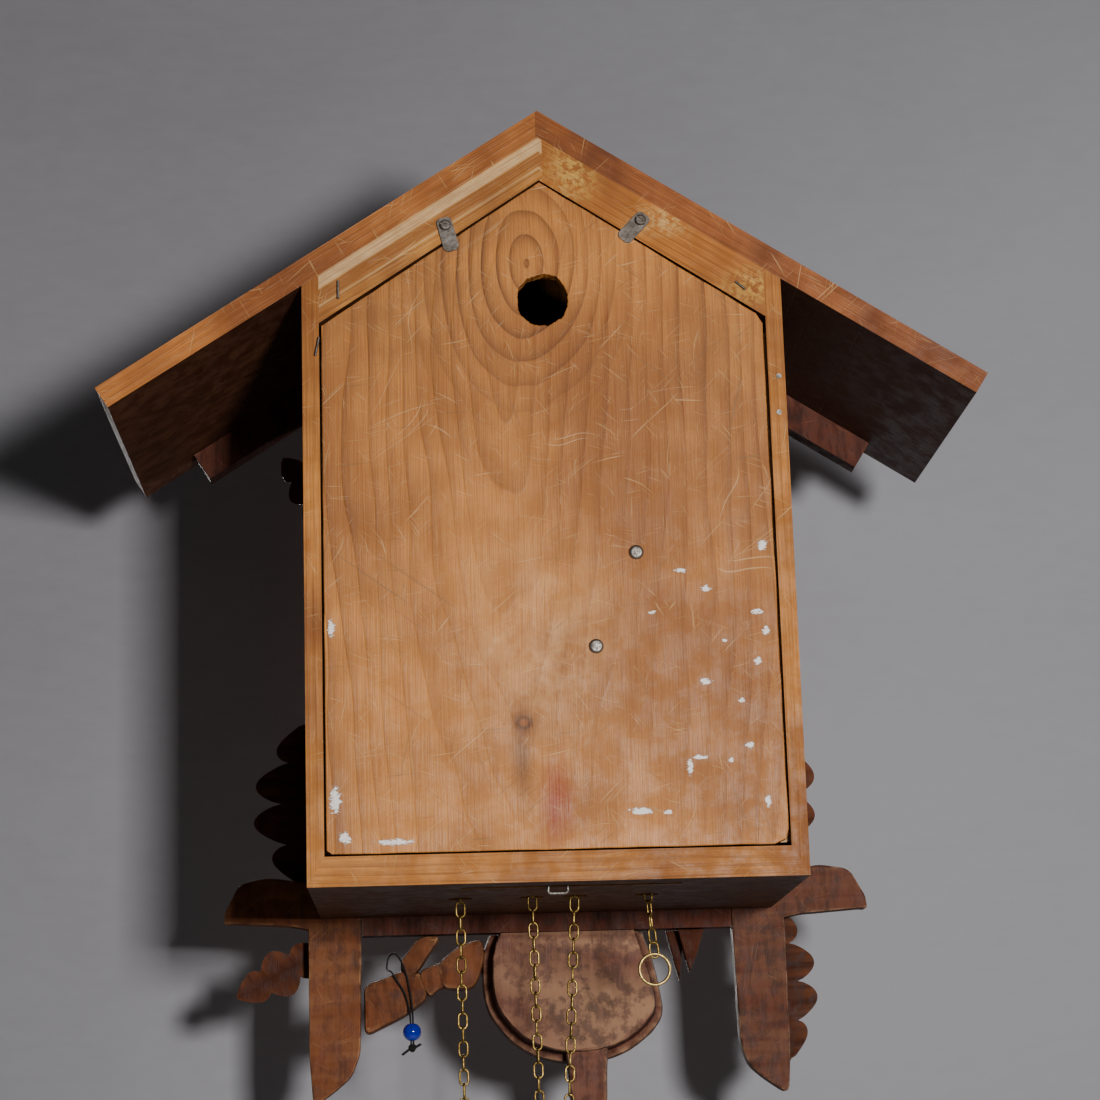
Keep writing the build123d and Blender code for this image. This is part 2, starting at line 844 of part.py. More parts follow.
parts = {
    "side_boards": side_boards(),
    "bottom_board": bottom_board(),
    "front_board": front_board(),
    "roof_board_left": roof_board(-1),
    "roof_board_right": roof_board(1),
    "gable_rail_left": gable_rail(-1),
    "gable_rail_right": gable_rail(1),
    "back_panel": back_panel(),
    "inner_battens": inner_battens(),
    "turn_button_left": turn_button("left"),
    "turn_button_right": turn_button("right"),
    "wood_screws": wood_screws(),
    "gong_rivets": gong_rivets(),
    "small_nails": small_nails(),
    "frame_stile_left": frame_stile(-1),
    "frame_stile_right": frame_stile(1),
    "frame_bars": frame_bars(),
    "frame_rail": frame_rail(),
    "oak_leaves_left": oak_leaves("left"),
    "oak_leaves_right": oak_leaves("right"),
    "crown_leaves": crown_leaves(),
    "hunting_bag": bag,
    "hunting_horn": hunting_horn(bag),
    "dial": dial(),
    "numerals": numerals(),
    "hour_hand": hand(24.0, 11.0, 4.6, -144.5, -143.0),
    "minute_hand": hand(38.0, 9.0, 2.95, -148.0, -146.5),
    "hand_nut": disc(*centre, 4.5, -150.5, -148.0) - disc(*centre, 2.95, -149.0, -148.0),
    "front_plate": front_plate(),
    "back_plate": back_plate(),
    "going_great_wheel": wheel(great_at, 34.0, 72, -69, -66),
    "strike_great_wheel": wheel(strike_at, 34.0, 72, -54, -51),
    "going_sprocket": sprocket(1),
    "strike_sprocket": sprocket(-1),
    "centre_wheel": centre_wheel(),
    "minute_wheel": minute_wheel(),
    "hour_wheel": hour_wheel(),
    "third_wheel": wheel(third, 24.0, 48, -64, -61) + pinion(third, 6.0, 12, -77, -71),
    "escape_wheel": wheel(escape, 15.0, 30, -50, -47) + pinion(escape, 5.0, 10, -65, -59),
    "pallet_anchor": pallet_anchor(),
    "pendulum_wire": pendulum_wire(),
    "strike_second_wheel": strike_second_wheel(),
    "fly": fly(),
    "hammer": hammer(),
    "gong_block": gong_block(),
    "gong_coil": gong_coil(),
    "cuckoo": cuckoo(),
    "cuckoo_door": cuckoo_door(),
    "door_pin": door_pin(),
    "bellows_boxes": bellows_boxes(),
    "bellows_cloth": bellows_cloth(),
    "bellows_lid_left": bellows_lid(-1),
    "bellows_lid_right": bellows_lid(1),
    "chain_going": chain("going"),
    "chain_strike": chain("strike"),
    "weight_hooks": weight_hooks(),
    "pull_ring_going": pull_ring(*chain_routes["going"]["foot_b"]),
    "pull_ring_strike": pull_ring(*chain_routes["strike"]["foot_b"]),
    "bead": bead(),
    "bead_cord": bead_cord(),
}
for name, shape in parts.items():
    save(shape, name)
print("parts", len(parts))
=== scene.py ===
import math

import bmesh
import bpy
from mathutils import Euler, Matrix, Vector, noise


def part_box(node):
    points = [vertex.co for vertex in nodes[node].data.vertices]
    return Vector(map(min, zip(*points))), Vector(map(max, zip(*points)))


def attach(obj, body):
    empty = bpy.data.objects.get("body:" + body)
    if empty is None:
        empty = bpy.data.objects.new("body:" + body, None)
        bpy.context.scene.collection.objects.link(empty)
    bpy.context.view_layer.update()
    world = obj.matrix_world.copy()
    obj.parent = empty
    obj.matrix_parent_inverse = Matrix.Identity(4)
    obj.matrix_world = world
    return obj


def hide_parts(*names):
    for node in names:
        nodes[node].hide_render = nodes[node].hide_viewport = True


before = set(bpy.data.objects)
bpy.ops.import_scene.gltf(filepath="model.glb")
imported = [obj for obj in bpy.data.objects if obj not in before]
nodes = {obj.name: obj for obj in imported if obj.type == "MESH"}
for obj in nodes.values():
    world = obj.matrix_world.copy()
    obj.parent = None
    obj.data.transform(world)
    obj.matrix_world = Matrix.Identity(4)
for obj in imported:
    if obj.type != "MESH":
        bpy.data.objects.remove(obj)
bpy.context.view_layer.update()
mm = 0.001
noise.seed_set(7)  # noise_vector would otherwise change from run to run


viewpoint = {  # metres, degrees and millimetres of lens
    "at": (0.0499, 1.0712, -0.3555),
    "pitch": 13.04,
    "yaw": -2.67,
    "roll": 1.73,
    "lens": 88.36,
    "sensor": 36,
}


# looks at the back of the case from a little below
def addCamera():
    pitch, yaw, roll = (math.radians(viewpoint[key]) for key in ("pitch", "yaw", "roll"))
    turn = Matrix.Rotation(roll, 3, "Z") @ Matrix.Rotation(pitch, 3, "X") @ Matrix.Rotation(yaw, 3, "Y")
    right, up, ahead = (Vector((-row[0], -row[2], row[1])) for row in turn)
    camera = bpy.data.objects.new("camera", bpy.data.cameras.new("camera"))
    camera.data.lens = viewpoint["lens"]
    camera.data.sensor_width = viewpoint["sensor"]
    camera.data.clip_start = 0.01
    axes = Matrix((right, up, -ahead)).transposed().to_4x4()
    camera.matrix_world = Matrix.Translation(viewpoint["at"]) @ axes
    bpy.context.collection.objects.link(camera)
    bpy.context.scene.camera = camera


caseMiddle, dialSide = (0, 0, -0.15), (0, -0.1, -0.08)
lamps = {  # place, aim, size, watts, colour and spread in degrees
    "keyLight": ((-0.29, 1.10, -0.20), caseMiddle, 0.13, 18.5, (1.0, 0.97, 0.93), 180),
    "fillLight": ((0.9, 1.3, 0.5), (0, -0.05, -0.1), 1.4, 0.4, (0.88, 0.93, 1.0), 180),
    "frontLight": ((0.15, -1.6, 0.3), dialSide, 0.8, 3, (1.0, 0.98, 0.95), 26),
    "sideLight": ((-1.4, -0.9, 0.3), dialSide, 0.7, 0.8, (0.95, 0.97, 1.0), 26),
}


def addLights():
    for name, (at, aim, size, watts, colour, cone) in lamps.items():
        lamp = bpy.data.lights.new(name, "AREA")
        lamp.size = size
        lamp.energy = watts
        lamp.color = colour
        lamp.spread = math.radians(cone)
        holder = bpy.data.objects.new(name, lamp)
        holder.location = at
        holder.rotation_euler = (Vector(aim) - Vector(at)).to_track_quat("-Z", "Y").to_euler()
        bpy.context.collection.objects.link(holder)


addCamera()
addLights()
print("camera and lamps done")


# a node with its settings; an input takes a value or another node's output
def makeNode(tree, kind, inputs=None, **settings):
    node = tree.nodes.new(kind)
    for name, value in settings.items():
        setattr(node, name, value)
    for key, value in (inputs or {}).items():
        if isinstance(value, bpy.types.NodeSocket):
            tree.links.new(value, node.inputs[key])
        else:
            node.inputs[key].default_value = value
    return node


def calc(tree, operation, a, b=0.0, c=0.0, clamp=False):
    node = makeNode(tree, "ShaderNodeMath", {0: a, 1: b, 2: c}, operation=operation, use_clamp=clamp)
    return node.outputs[0]


def times(tree, a, b, clamp=False):
    return calc(tree, "MULTIPLY", a, b, clamp=clamp)


def vectorMath(tree, operation, a, b=(0, 0, 0)):
    return makeNode(tree, "ShaderNodeVectorMath", {0: a, 1: b}, operation=operation).outputs


def scaled(tree, vector, scale):
    return makeNode(tree, "ShaderNodeVectorMath", {0: vector, "Scale": scale}, operation="SCALE").outputs[0]


def split(tree, vector):
    return makeNode(tree, "ShaderNodeSeparateXYZ", {0: vector}).outputs


def blend(tree, factor, a, b, mode="MIX"):
    node = makeNode(tree, "ShaderNodeMix", {0: factor, 6: a, 7: b}, data_type="RGBA", blend_type=mode)
    node.clamp_factor = True
    return node.outputs[2]


# maps a range of a value to another, held at its ends
def spread(tree, value, low, high, toLow=0.0, toHigh=1.0):
    node = makeNode(tree, "ShaderNodeMapRange", {0: value, 1: low, 2: high, 3: toLow, 4: toHigh})
    node.interpolation_type = "SMOOTHSTEP"
    return node.outputs[0]


def stretch(tree, vector, scale, turn=(0, 0, 0), shift=(0, 0, 0)):
    inputs = {"Vector": vector, "Scale": scale, "Rotation": turn, "Location": shift}
    return makeNode(tree, "ShaderNodeMapping", inputs).outputs[0]


def cloud(tree, vector, scale, detail=2.0, rough=0.5, distort=0.0):
    inputs = {"Vector": vector, "Scale": scale, "Detail": detail, "Roughness": rough, "Distortion": distort}
    return makeNode(tree, "ShaderNodeTexNoise", inputs).outputs[0]


def newGroup(name, inputs, outputs):
    group = bpy.data.node_groups.new(name, "ShaderNodeTree")
    for label, kind, value in inputs:
        socket = group.interface.new_socket(label, in_out="INPUT", socket_type=kind)
        if value is not None:
            socket.default_value = value
    for label, kind in outputs:
        group.interface.new_socket(label, in_out="OUTPUT", socket_type=kind)
    return group, makeNode(group, "NodeGroupInput").outputs, makeNode(group, "NodeGroupOutput").inputs


def applyGroup(tree, group, inputs):
    return makeNode(tree, "ShaderNodeGroup", inputs, node_tree=group).outputs


# growth rings of a sawn board whose trunk ran along Z, with pores and fibres
def grainGroup():
    group, given, out = newGroup(
        "woodGrain",
        [
            ("Vector", "NodeSocketVector", None),
            ("Ring Spacing", "NodeSocketFloat", 0.006),
            ("Length Squeeze", "NodeSocketFloat", 0.15),
            ("Centre X", "NodeSocketFloat", 0.0),
            ("Centre Z", "NodeSocketFloat", 0.0),
            ("Wobble", "NodeSocketFloat", 0.01),
        ],
        [("Rings", "NodeSocketFloat"), ("Fibre", "NodeSocketFloat"), ("Pores", "NodeSocketFloat")],
    )
    vector = given["Vector"]
    parts = split(group, vector)
    across = calc(group, "SUBTRACT", parts[0], given["Centre X"])
    along = calc(group, "SUBTRACT", parts[2], given["Centre Z"])
    along = times(group, along, given["Length Squeeze"])
    depth = times(group, parts[1], 0.9)
    flat = makeNode(group, "ShaderNodeCombineXYZ", {0: across, 1: along, 2: depth}).outputs[0]
    reach = vectorMath(group, "LENGTH", flat)["Value"]
    bend = cloud(group, stretch(group, vector, (22, 22, 5)), 1.0, 2.0, 0.55)
    bend = times(group, calc(group, "SUBTRACT", bend, 0.5), given["Wobble"])
    turns = calc(group, "DIVIDE", calc(group, "ADD", reach, bend), given["Ring Spacing"])
    share = calc(group, "FRACT", turns)
    late = calc(group, "POWER", share, 3.0)
    fade = spread(group, share, 0.93, 1.0, 1.0, 0.0)
    strength = cloud(group, stretch(group, vector, (30, 30, 8)), 1.3, 1.0)
    rings = times(group, times(group, late, fade), spread(group, strength, 0.25, 0.75, 0.45, 1.0))
    fibre = cloud(group, stretch(group, vector, (1500, 900, 34)), 1.0, 3.0, 0.6)
    pores = cloud(group, stretch(group, vector, (2600, 1500, 120)), 1.0, 1.0)
    group.links.new(rings, out["Rings"])
    group.links.new(fibre, out["Fibre"])
    group.links.new(spread(group, pores, 0.66, 0.74), out["Pores"])
    return group


# thin straight scratches in several directions across X and Z
def scratchGroup():
    group, given, out = newGroup(
        "scratches",
        [
            ("Vector", "NodeSocketVector", None),
            ("Scale", "NodeSocketFloat", 1.0),
            ("Amount", "NodeSocketFloat", 0.5),
        ],
        [("Mask", "NodeSocketFloat")],
    )
    vector = scaled(group, given["Vector"], given["Scale"])
    total = None
    for index, angle in enumerate((12, 47, 79, 118, 151)):
        away = (0.31 * index, 0, 0.17 * index)
        turned = stretch(group, vector, (1, 0, 1), (0, math.radians(angle), 0), away)
        long = stretch(group, turned, (900, 1, 14 + 5 * index))
        line = spread(group, cloud(group, long, 1.0, 1.0, 0.4), 0.66, 0.73)
        where = spread(group, cloud(group, turned, 38 + 9 * index, 1.0), 0.47, 0.66)
        line = times(group, line, where)
        total = line if total is None else calc(group, "MAXIMUM", total, line)
    group.links.new(times(group, total, given["Amount"], clamp=True), out["Mask"])
    return group


# ragged paint specks, wider than they are tall
def speckGroup():
    group, given, out = newGroup(
        "paintSpecks",
        [("Vector", "NodeSocketVector", None), ("Cover", "NodeSocketFloat", 0.5)],
        [("Mask", "NodeSocketFloat")],
    )
    wide = stretch(group, given["Vector"], (1, 1, 2.2), (0, 0.35, 0))
    coarse = cloud(group, wide, 85, 3.0, 0.65, 0.3)
    fine = cloud(group, wide, 420, 2.0)
    mixed = calc(group, "ADD", coarse, times(group, fine, 0.22))
    edge = calc(group, "SUBTRACT", 1.02, times(group, given["Cover"], 0.3))
    mask = spread(group, calc(group, "SUBTRACT", mixed, edge), 0.0, 0.025)
    group.links.new(mask, out["Mask"])
    return group


# slow changes of tone, from large to small
def grimeGroup():
    group, given, out = newGroup(
        "grime",
        [("Vector", "NodeSocketVector", None), ("Scale", "NodeSocketFloat", 1.0)],
        [("Broad", "NodeSocketFloat"), ("Small", "NodeSocketFloat")],
    )
    vector = scaled(group, given["Vector"], given["Scale"])
    group.links.new(spread(group, cloud(group, vector, 14, 3.0, 0.6), 0.3, 0.7), out["Broad"])
    group.links.new(spread(group, cloud(group, vector, 110, 4.0, 0.65), 0.3, 0.7), out["Small"])
    return group


grain = grainGroup()
scratches = scratchGroup()
specks = speckGroup()
grime = grimeGroup()


# a material with its Principled shader; the values go on the shader's sockets
def newMaterial(name, **values):
    material = bpy.data.materials.new(name)
    material.use_nodes = True
    tree = material.node_tree
    shader = next(node for node in tree.nodes if node.type == "BSDF_PRINCIPLED")
    for label, value in values.items():
        shader.inputs[label].default_value = value
    place = makeNode(tree, "ShaderNodeTexCoord").outputs["Object"]
    return material, tree, shader, place


def woodOf(tree, vector, spacing, squeeze, heart, wobble):
    values = {"Vector": vector, "Ring Spacing": spacing, "Length Squeeze": squeeze}
    values |= {"Centre X": heart[0], "Centre Z": heart[1], "Wobble": wobble}
    return applyGroup(tree, grain, values)


def marksOf(tree, vector, scale, amount):
    return applyGroup(tree, scratches, {"Vector": vector, "Scale": scale, "Amount": amount})["Mask"]


def toneOf(tree, place, scale):
    return applyGroup(tree, grime, {"Vector": place, "Scale": scale})


def addBump(tree, shader, height, distance, strength=1.0):
    inputs = {"Height": height, "Distance": distance, "Strength": strength}
    bump = makeNode(tree, "ShaderNodeBump", inputs)
    tree.links.new(bump.outputs[0], shader.inputs["Normal"])


# 1 at a point of the X and Z plane, fading to 0 at a distance given in metres
def near(tree, place, at, size):
    shift = vectorMath(tree, "SUBTRACT", place, (at[0], 0, at[1]))[0]
    flat = stretch(tree, shift, (1 / size[0], 0, 1 / size[1]))
    reach = vectorMath(tree, "LENGTH", flat)["Value"]
    return spread(tree, reach, 0.0, 1.0, 1.0, 0.0)


# how far a face looks towards the wall, from -1 to 1
def wallward(tree):
    return split(tree, makeNode(tree, "ShaderNodeNewGeometry").outputs["True Normal"])[1]


# a stained board: look gives its colours, ring size, wear and centre
def boardMaterial(name, look, turn=(0, 0, 0)):
    rough = look.get("rough", 0.55)
    values = {"Roughness": rough, "Specular IOR Level": 0.28}
    material, tree, shader, place = newMaterial(name, **values)
    vector = stretch(tree, place, (1, 1, 1), turn)
    heart = look.get("centre", (0.3, 0))
    wood = woodOf(tree, vector, look["spacing"], look.get("squeeze", 0.02), heart, look.get("wobble", 0.006))
    tone = toneOf(tree, place, look.get("grime", 1.0))
    colour = blend(tree, tone["Broad"], look["light"], look["dark"])
    colour = blend(tree, times(tree, wood["Rings"], look.get("ringDepth", 0.6)), colour, look["ring"])
    # painted light and shade of a rail's milled grooves: lit and shaded strips along the roof slope
    if "paintedGrooveBands" in look:
        parts = split(tree, place)
        drop = calc(tree, "ADD", times(tree, calc(tree, "ABSOLUTE", parts[0]), math.tan(slope)), parts[2])
        for low, high, tint, amount in look["paintedGrooveBands"]:
            above, below = spread(tree, drop, low, low + mm), spread(tree, drop, high - mm, high, 1.0, 0.0)
            inside = times(tree, above, below)
            colour = blend(tree, times(tree, inside, amount), colour, tint)
    for at, size, tint in look.get("spots", ()):
        broken = spread(tree, cloud(tree, place, 320, 4.0, 0.7), 0.42, 0.56)
        patch = times(tree, near(tree, place, at, size), broken)
        colour = blend(tree, patch, colour, tint)
    fibre = spread(tree, wood["Fibre"], 0.3, 0.7, 0.0, 0.4)
    colour = blend(tree, fibre, colour, look["ring"], "MULTIPLY")
    colour = blend(tree, times(tree, tone["Small"], 0.3), colour, look["dark"])
    # the dark stain covers every face but those towards the wall
    outer = spread(tree, wallward(tree), 0.45, 0.7, 1.0, 0.0)
    stained = times(tree, outer, spread(tree, tone["Small"], 0.0, 1.0, 0.97, 0.88))
    marks = marksOf(tree, place, 1.3, look.get("scratch", 0.4))
    colour = blend(tree, marks, colour, look["worn"])
    colour = blend(tree, times(tree, stained, look.get("stainShare", 1.0)), colour, look["stain"])
    chips = applyGroup(tree, specks, {"Vector": place, "Cover": look.get("specks", 0.25)})
    colour = blend(tree, times(tree, chips["Mask"], 0.7), colour, (0.72, 0.66, 0.55, 1))
    tree.links.new(colour, shader.inputs["Base Color"])
    height = calc(tree, "ADD", wood["Fibre"], times(tree, wood["Rings"], 0.7))
    height = calc(tree, "SUBTRACT", height, times(tree, marks, 1.2))
    addBump(tree, shader, height, 0.00025, 0.7)
    sheen = spread(tree, tone["Small"], 0.0, 1.0, rough - 0.1, rough + 0.15)
    tree.links.new(sheen, shader.inputs["Roughness"])
    return material


panelLook = {
    "light": (0.58, 0.235, 0.050, 1),
    "dark": (0.27, 0.095, 0.018, 1),
    "ring": (0.095, 0.030, 0.008, 1),
    "fibre": (0.60, 0.42, 0.28, 1),
    "shade": (0.16, 0.07, 0.022, 1),
    "knotHeart": (0.30, 0.09, 0.025, 1),
    "knotRim": (0.045, 0.013, 0.004, 1),
    "redStain": (0.24, 0.035, 0.010, 1),
    "paleMark": (0.66, 0.44, 0.22, 1),
    "darkMark": (0.17, 0.085, 0.03, 1),
    "fineMark": (0.70, 0.43, 0.20, 1),
    "sanded": (0.80, 0.46, 0.22, 1),
    "dots": (0.75, 0.62, 0.48, 1),
    "paint": (0.78, 0.76, 0.74, 1),
    "pits": (0.06, 0.025, 0.01, 1),
    "knotAt": (0.0125, -0.178),
    "shades": [  # place, size and strength
        ((0.055, 0.0), (0.07, 0.05), 0.4),
        ((0.03, 0.03), (0.03, 0.02), 0.35),
        ((-0.07, -0.03), (0.03, 0.06), 0.22),
    ],
    "paintSpots": [  # x, z, half width and half height of each chip of paint
        (-0.0529, -0.1167, 0.0052, 0.0021), (-0.0632, -0.1244, 0.0047, 0.0026),
        (-0.0836, -0.1344, 0.0047, 0.0026), (-0.0869, -0.1424, 0.0031, 0.0036),
        (-0.0831, -0.1547, 0.0036, 0.0031), (-0.0612, -0.1628, 0.0057, 0.0026),
        (-0.0782, -0.1893, 0.0036, 0.0026), (-0.0537, -0.1973, 0.0026, 0.0073),
        (-0.0703, -0.1952, 0.0026, 0.0021), (-0.0333, -0.2149, 0.0104, 0.0031),
        (-0.0408, -0.1339, 0.0031, 0.0016), (-0.0870, -0.1069, 0.0042, 0.0047),
        (-0.0441, -0.2156, 0.0036, 0.0021), (-0.0579, -0.1937, 0.0062, 0.0021),
        (-0.0758, -0.1709, 0.0026, 0.0021), (-0.0700, -0.1461, 0.0021, 0.0016),
        (-0.0844, -0.2117, 0.0026, 0.0052), (0.0893, -0.1378, 0.0031, 0.0073),
        (0.0885, -0.2076, 0.0047, 0.0114), (0.0847, -0.2228, 0.0052, 0.0052),
        (-0.0843, -0.2318, 0.0094, 0.0036), (0.0649, -0.2249, 0.0156, 0.0026),
    ],
}


# the back panel: arched grain about the hole, a knot, stains, scratches and paint
def panelMaterial():
    look = panelLook
    material, tree, shader, place = newMaterial("panelWood", **{"Specular IOR Level": 0.3})
    wood = woodOf(tree, place, 0.0075, 0.2, (0.016, -0.02), 0.03)
    whorl = woodOf(tree, place, 0.0062, 0.55, (0.006, 0.016), 0.020)
    tone = toneOf(tree, place, 0.7)
    colour = blend(tree, tone["Broad"], look["light"], look["dark"])
    # growth rings, with a whorl of their own about the hole
    about = near(tree, place, (0.010, 0.010), (0.075, 0.080))
    parts = split(tree, place)
    upper = spread(tree, parts[2], -0.16, 0.02, 0.28, 0.85)
    upper = times(tree, upper, calc(tree, "SUBTRACT", 1.0, times(tree, about, 0.9)))
    arcs = times(tree, times(tree, whorl["Rings"], about), 1.7, clamp=True)
    colour = blend(tree, arcs, colour, look["ring"])
    side = spread(tree, calc(tree, "ABSOLUTE", parts[0]), 0.03, 0.09, 0.0, 0.35)
    depth = calc(tree, "ADD", upper, side, clamp=True)
    colour = blend(tree, times(tree, wood["Rings"], depth), colour, look["ring"])
    fibre = spread(tree, wood["Fibre"], 0.35, 0.72, 0.0, 0.6)
    colour = blend(tree, fibre, colour, look["fibre"], "MULTIPLY")
    colour = blend(tree, times(tree, tone["Small"], 0.22), colour, look["dark"])
    for at, size, amount in look["shades"]:
        uneven = spread(tree, tone["Small"], 0.0, 1.0, 0.4, 1.0)
        shade = times(tree, near(tree, place, at, size), uneven)
        colour = blend(tree, times(tree, shade, amount), colour, look["shade"])
    # the knot, with its tail of dark grain
    knotAt = look["knotAt"]
    tail = near(tree, place, (0.0135, -0.192), (0.007, 0.030))
    colour = blend(tree, times(tree, tail, 0.75), colour, look["ring"])
    colour = blend(tree, times(tree, near(tree, place, knotAt, (0.0075, 0.0065)), 0.9), colour, look["ring"])
    heart = near(tree, place, knotAt, (0.0042, 0.0036))
    inner = times(tree, near(tree, place, knotAt, (0.0030, 0.0026)), 1.25)
    rim = calc(tree, "SUBTRACT", heart, inner, clamp=True)
    colour = blend(tree, times(tree, heart, 0.6), colour, look["knotHeart"])
    colour = blend(tree, times(tree, rim, 2.6, clamp=True), colour, look["knotRim"])
    streaky = spread(tree, wood["Fibre"], 0.3, 0.7, 0.6, 1.4)
    stain = times(tree, near(tree, place, (0.0, -0.210), (0.010, 0.026)), streaky)
    colour = blend(tree, times(tree, stain, 0.85, clamp=True), colour, look["redStain"])
    # scratches: curved pale ones, then dark ones, then fine ones
    bent = cloud(tree, place, 18, 1.0)
    sideways = {0: times(tree, bent, 0.05), 2: times(tree, bent, -0.03)}
    swirl = makeNode(tree, "ShaderNodeCombineXYZ", sideways).outputs[0]
    marks = marksOf(tree, vectorMath(tree, "ADD", place, swirl)[0], 1.2, 0.36)
    colour = blend(tree, marks, colour, look["paleMark"])
    darkMarks = marksOf(tree, stretch(tree, place, (1, 1, 1), (0, 2, 0), (0.4, 0, 0.1)), 0.8, 0.5)
    colour = blend(tree, darkMarks, colour, look["darkMark"])
    fineMarks = marksOf(tree, stretch(tree, place, (1, 1, 1), (0, 1.1, 0), (0.2, 0, 0.3)), 2.3, 0.3)
    colour = blend(tree, fineMarks, colour, look["fineMark"])
    pale = near(tree, place, (0.006, -0.150), (0.05, 0.06))
    sanded = cloud(tree, stretch(tree, place, (1, 1, 1), (0, 0.5, 0)), 60, 3.0, 0.7)
    pale = times(tree, pale, spread(tree, sanded, 0.3, 0.8, 0.0, 0.45))
    colour = blend(tree, pale, colour, look["sanded"])
    # chips of white paint, ragged at the edge, and a scatter of dots
    painted = None
    for x, z, wide, tall in look["paintSpots"]:
        spot = near(tree, place, (x, z), (wide, tall))
        painted = spot if painted is None else calc(tree, "MAXIMUM", painted, spot)
    grainy = cloud(tree, stretch(tree, place, (1, 1, 2.2), (0, 0.4, 0)), 480, 4.0, 0.75)
    broken = calc(tree, "ADD", times(tree, painted, 0.5), times(tree, grainy, 1.15))
    chips = spread(tree, times(tree, broken, calc(tree, "GREATER_THAN", painted, 0.02)), 0.83, 0.93)
    dots = applyGroup(tree, specks, {"Vector": stretch(tree, place, (3.5, 3.5, 3.5)), "Cover": 0.36})
    colour = blend(tree, times(tree, dots["Mask"], 0.5), colour, look["dots"])
    colour = blend(tree, times(tree, chips, 0.9), colour, look["paint"])
    pits = spread(tree, cloud(tree, place, 900, 1.0), 0.72, 0.77)
    pits = times(tree, pits, spread(tree, cloud(tree, place, 26, 1.0), 0.45, 0.7))
    colour = blend(tree, times(tree, pits, 0.8), colour, look["pits"])
    tree.links.new(colour, shader.inputs["Base Color"])
    height = calc(tree, "ADD", wood["Fibre"], times(tree, wood["Rings"], 0.9))
    height = calc(tree, "SUBTRACT", height, marks)
    addBump(tree, shader, calc(tree, "ADD", height, chips), 0.00025, 0.7)
    tree.links.new(spread(tree, tone["Small"], 0.0, 1.0, 0.42, 0.62), shader.inputs["Roughness"])
    return material


# dark stained carving: scuffed grey on flat backs, lighter on worn edges
def carvedMaterial(name, look):
    material, tree, shader, place = newMaterial(name, **{"Specular IOR Level": 0.16})
    wood = woodOf(tree, place, 0.005, 0.05, (0.4, 0.0), 0.012)
    tone = toneOf(tree, place, 1.6)
    colour = blend(tree, tone["Broad"], look["light"], look["dark"])
    colour = blend(tree, times(tree, wood["Rings"], 0.5), colour, look["dark"])
    colour = blend(tree, spread(tree, wood["Fibre"], 0.4, 0.8, 0.0, 0.45), colour, look["dark"])
    back = spread(tree, wallward(tree), 0.8, 0.98)
    streak = cloud(tree, stretch(tree, place, (1, 1, 0.22)), 300, 4.0, 0.7)
    streak = spread(tree, streak, 0.4, 0.62)
    rubbed = calc(tree, "ADD", times(tree, tone["Small"], 0.6), times(tree, streak, 0.5))
    rub = times(tree, back, spread(tree, rubbed, -0.1, 1.1, 0.0, look.get("scuff", 0.75)))
    colour = blend(tree, rub, colour, look["scuffed"])
    colour = blend(tree, marksOf(tree, place, 1.9, 0.22), colour, look["worn"])
    worn = makeNode(tree, "ShaderNodeAttribute", attribute_name="worn").outputs["Fac"]
    wornMask = times(tree, worn, spread(tree, tone["Small"], 0.15, 0.7, 0.35, 1.0), clamp=True)
    colour = blend(tree, wornMask, colour, look["worn"])
    tree.links.new(colour, shader.inputs["Base Color"])
    cuts = cloud(tree, stretch(tree, place, (1, 1, 0.35)), 260, 2.0)
    height = calc(tree, "ADD", wood["Fibre"], times(tree, cuts, 1.4))
    addBump(tree, shader, height, 0.0003, 0.7)
    tree.links.new(spread(tree, tone["Small"], 0.0, 1.0, 0.55, 0.85), shader.inputs["Roughness"])
    return material


# tarnished metal, duller where grime has settled
def metalMaterial(name, bright, dull, rough, dirt=0.5):
    material, tree, shader, place = newMaterial(name, Metallic=1.0)
    tone = toneOf(tree, place, 6.0)
    colour = blend(tree, times(tree, tone["Small"], dirt), bright, dull)
    colour = blend(tree, times(tree, tone["Broad"], dirt), colour, dull)
    colour = blend(tree, marksOf(tree, place, 4.0, 0.4), colour, bright)
    tree.links.new(colour, shader.inputs["Base Color"])
    tree.links.new(spread(tree, tone["Small"], 0.0, 1.0, rough, rough + 0.25), shader.inputs["Roughness"])
    addBump(tree, shader, tone["Small"], 0.00006, 0.4)
    return material


# paint, bone, cloth or string: two close tones with a fine grain
def plainMaterial(name, light, dark, rough, scale=2.0, bump=0.0001):
    material, tree, shader, place = newMaterial(name, **{"Specular IOR Level": 0.4})
    tone = toneOf(tree, place, scale)
    fine = cloud(tree, place, 1400, 2.0)
    colour = blend(tree, tone["Broad"], light, dark)
    colour = blend(tree, times(tree, tone["Small"], 0.5), colour, dark)
    tree.links.new(colour, shader.inputs["Base Color"])
    tree.links.new(spread(tree, tone["Small"], 0.0, 1.0, rough, rough + 0.15), shader.inputs["Roughness"])
    addBump(tree, shader, fine, bump, 0.6)
    return material


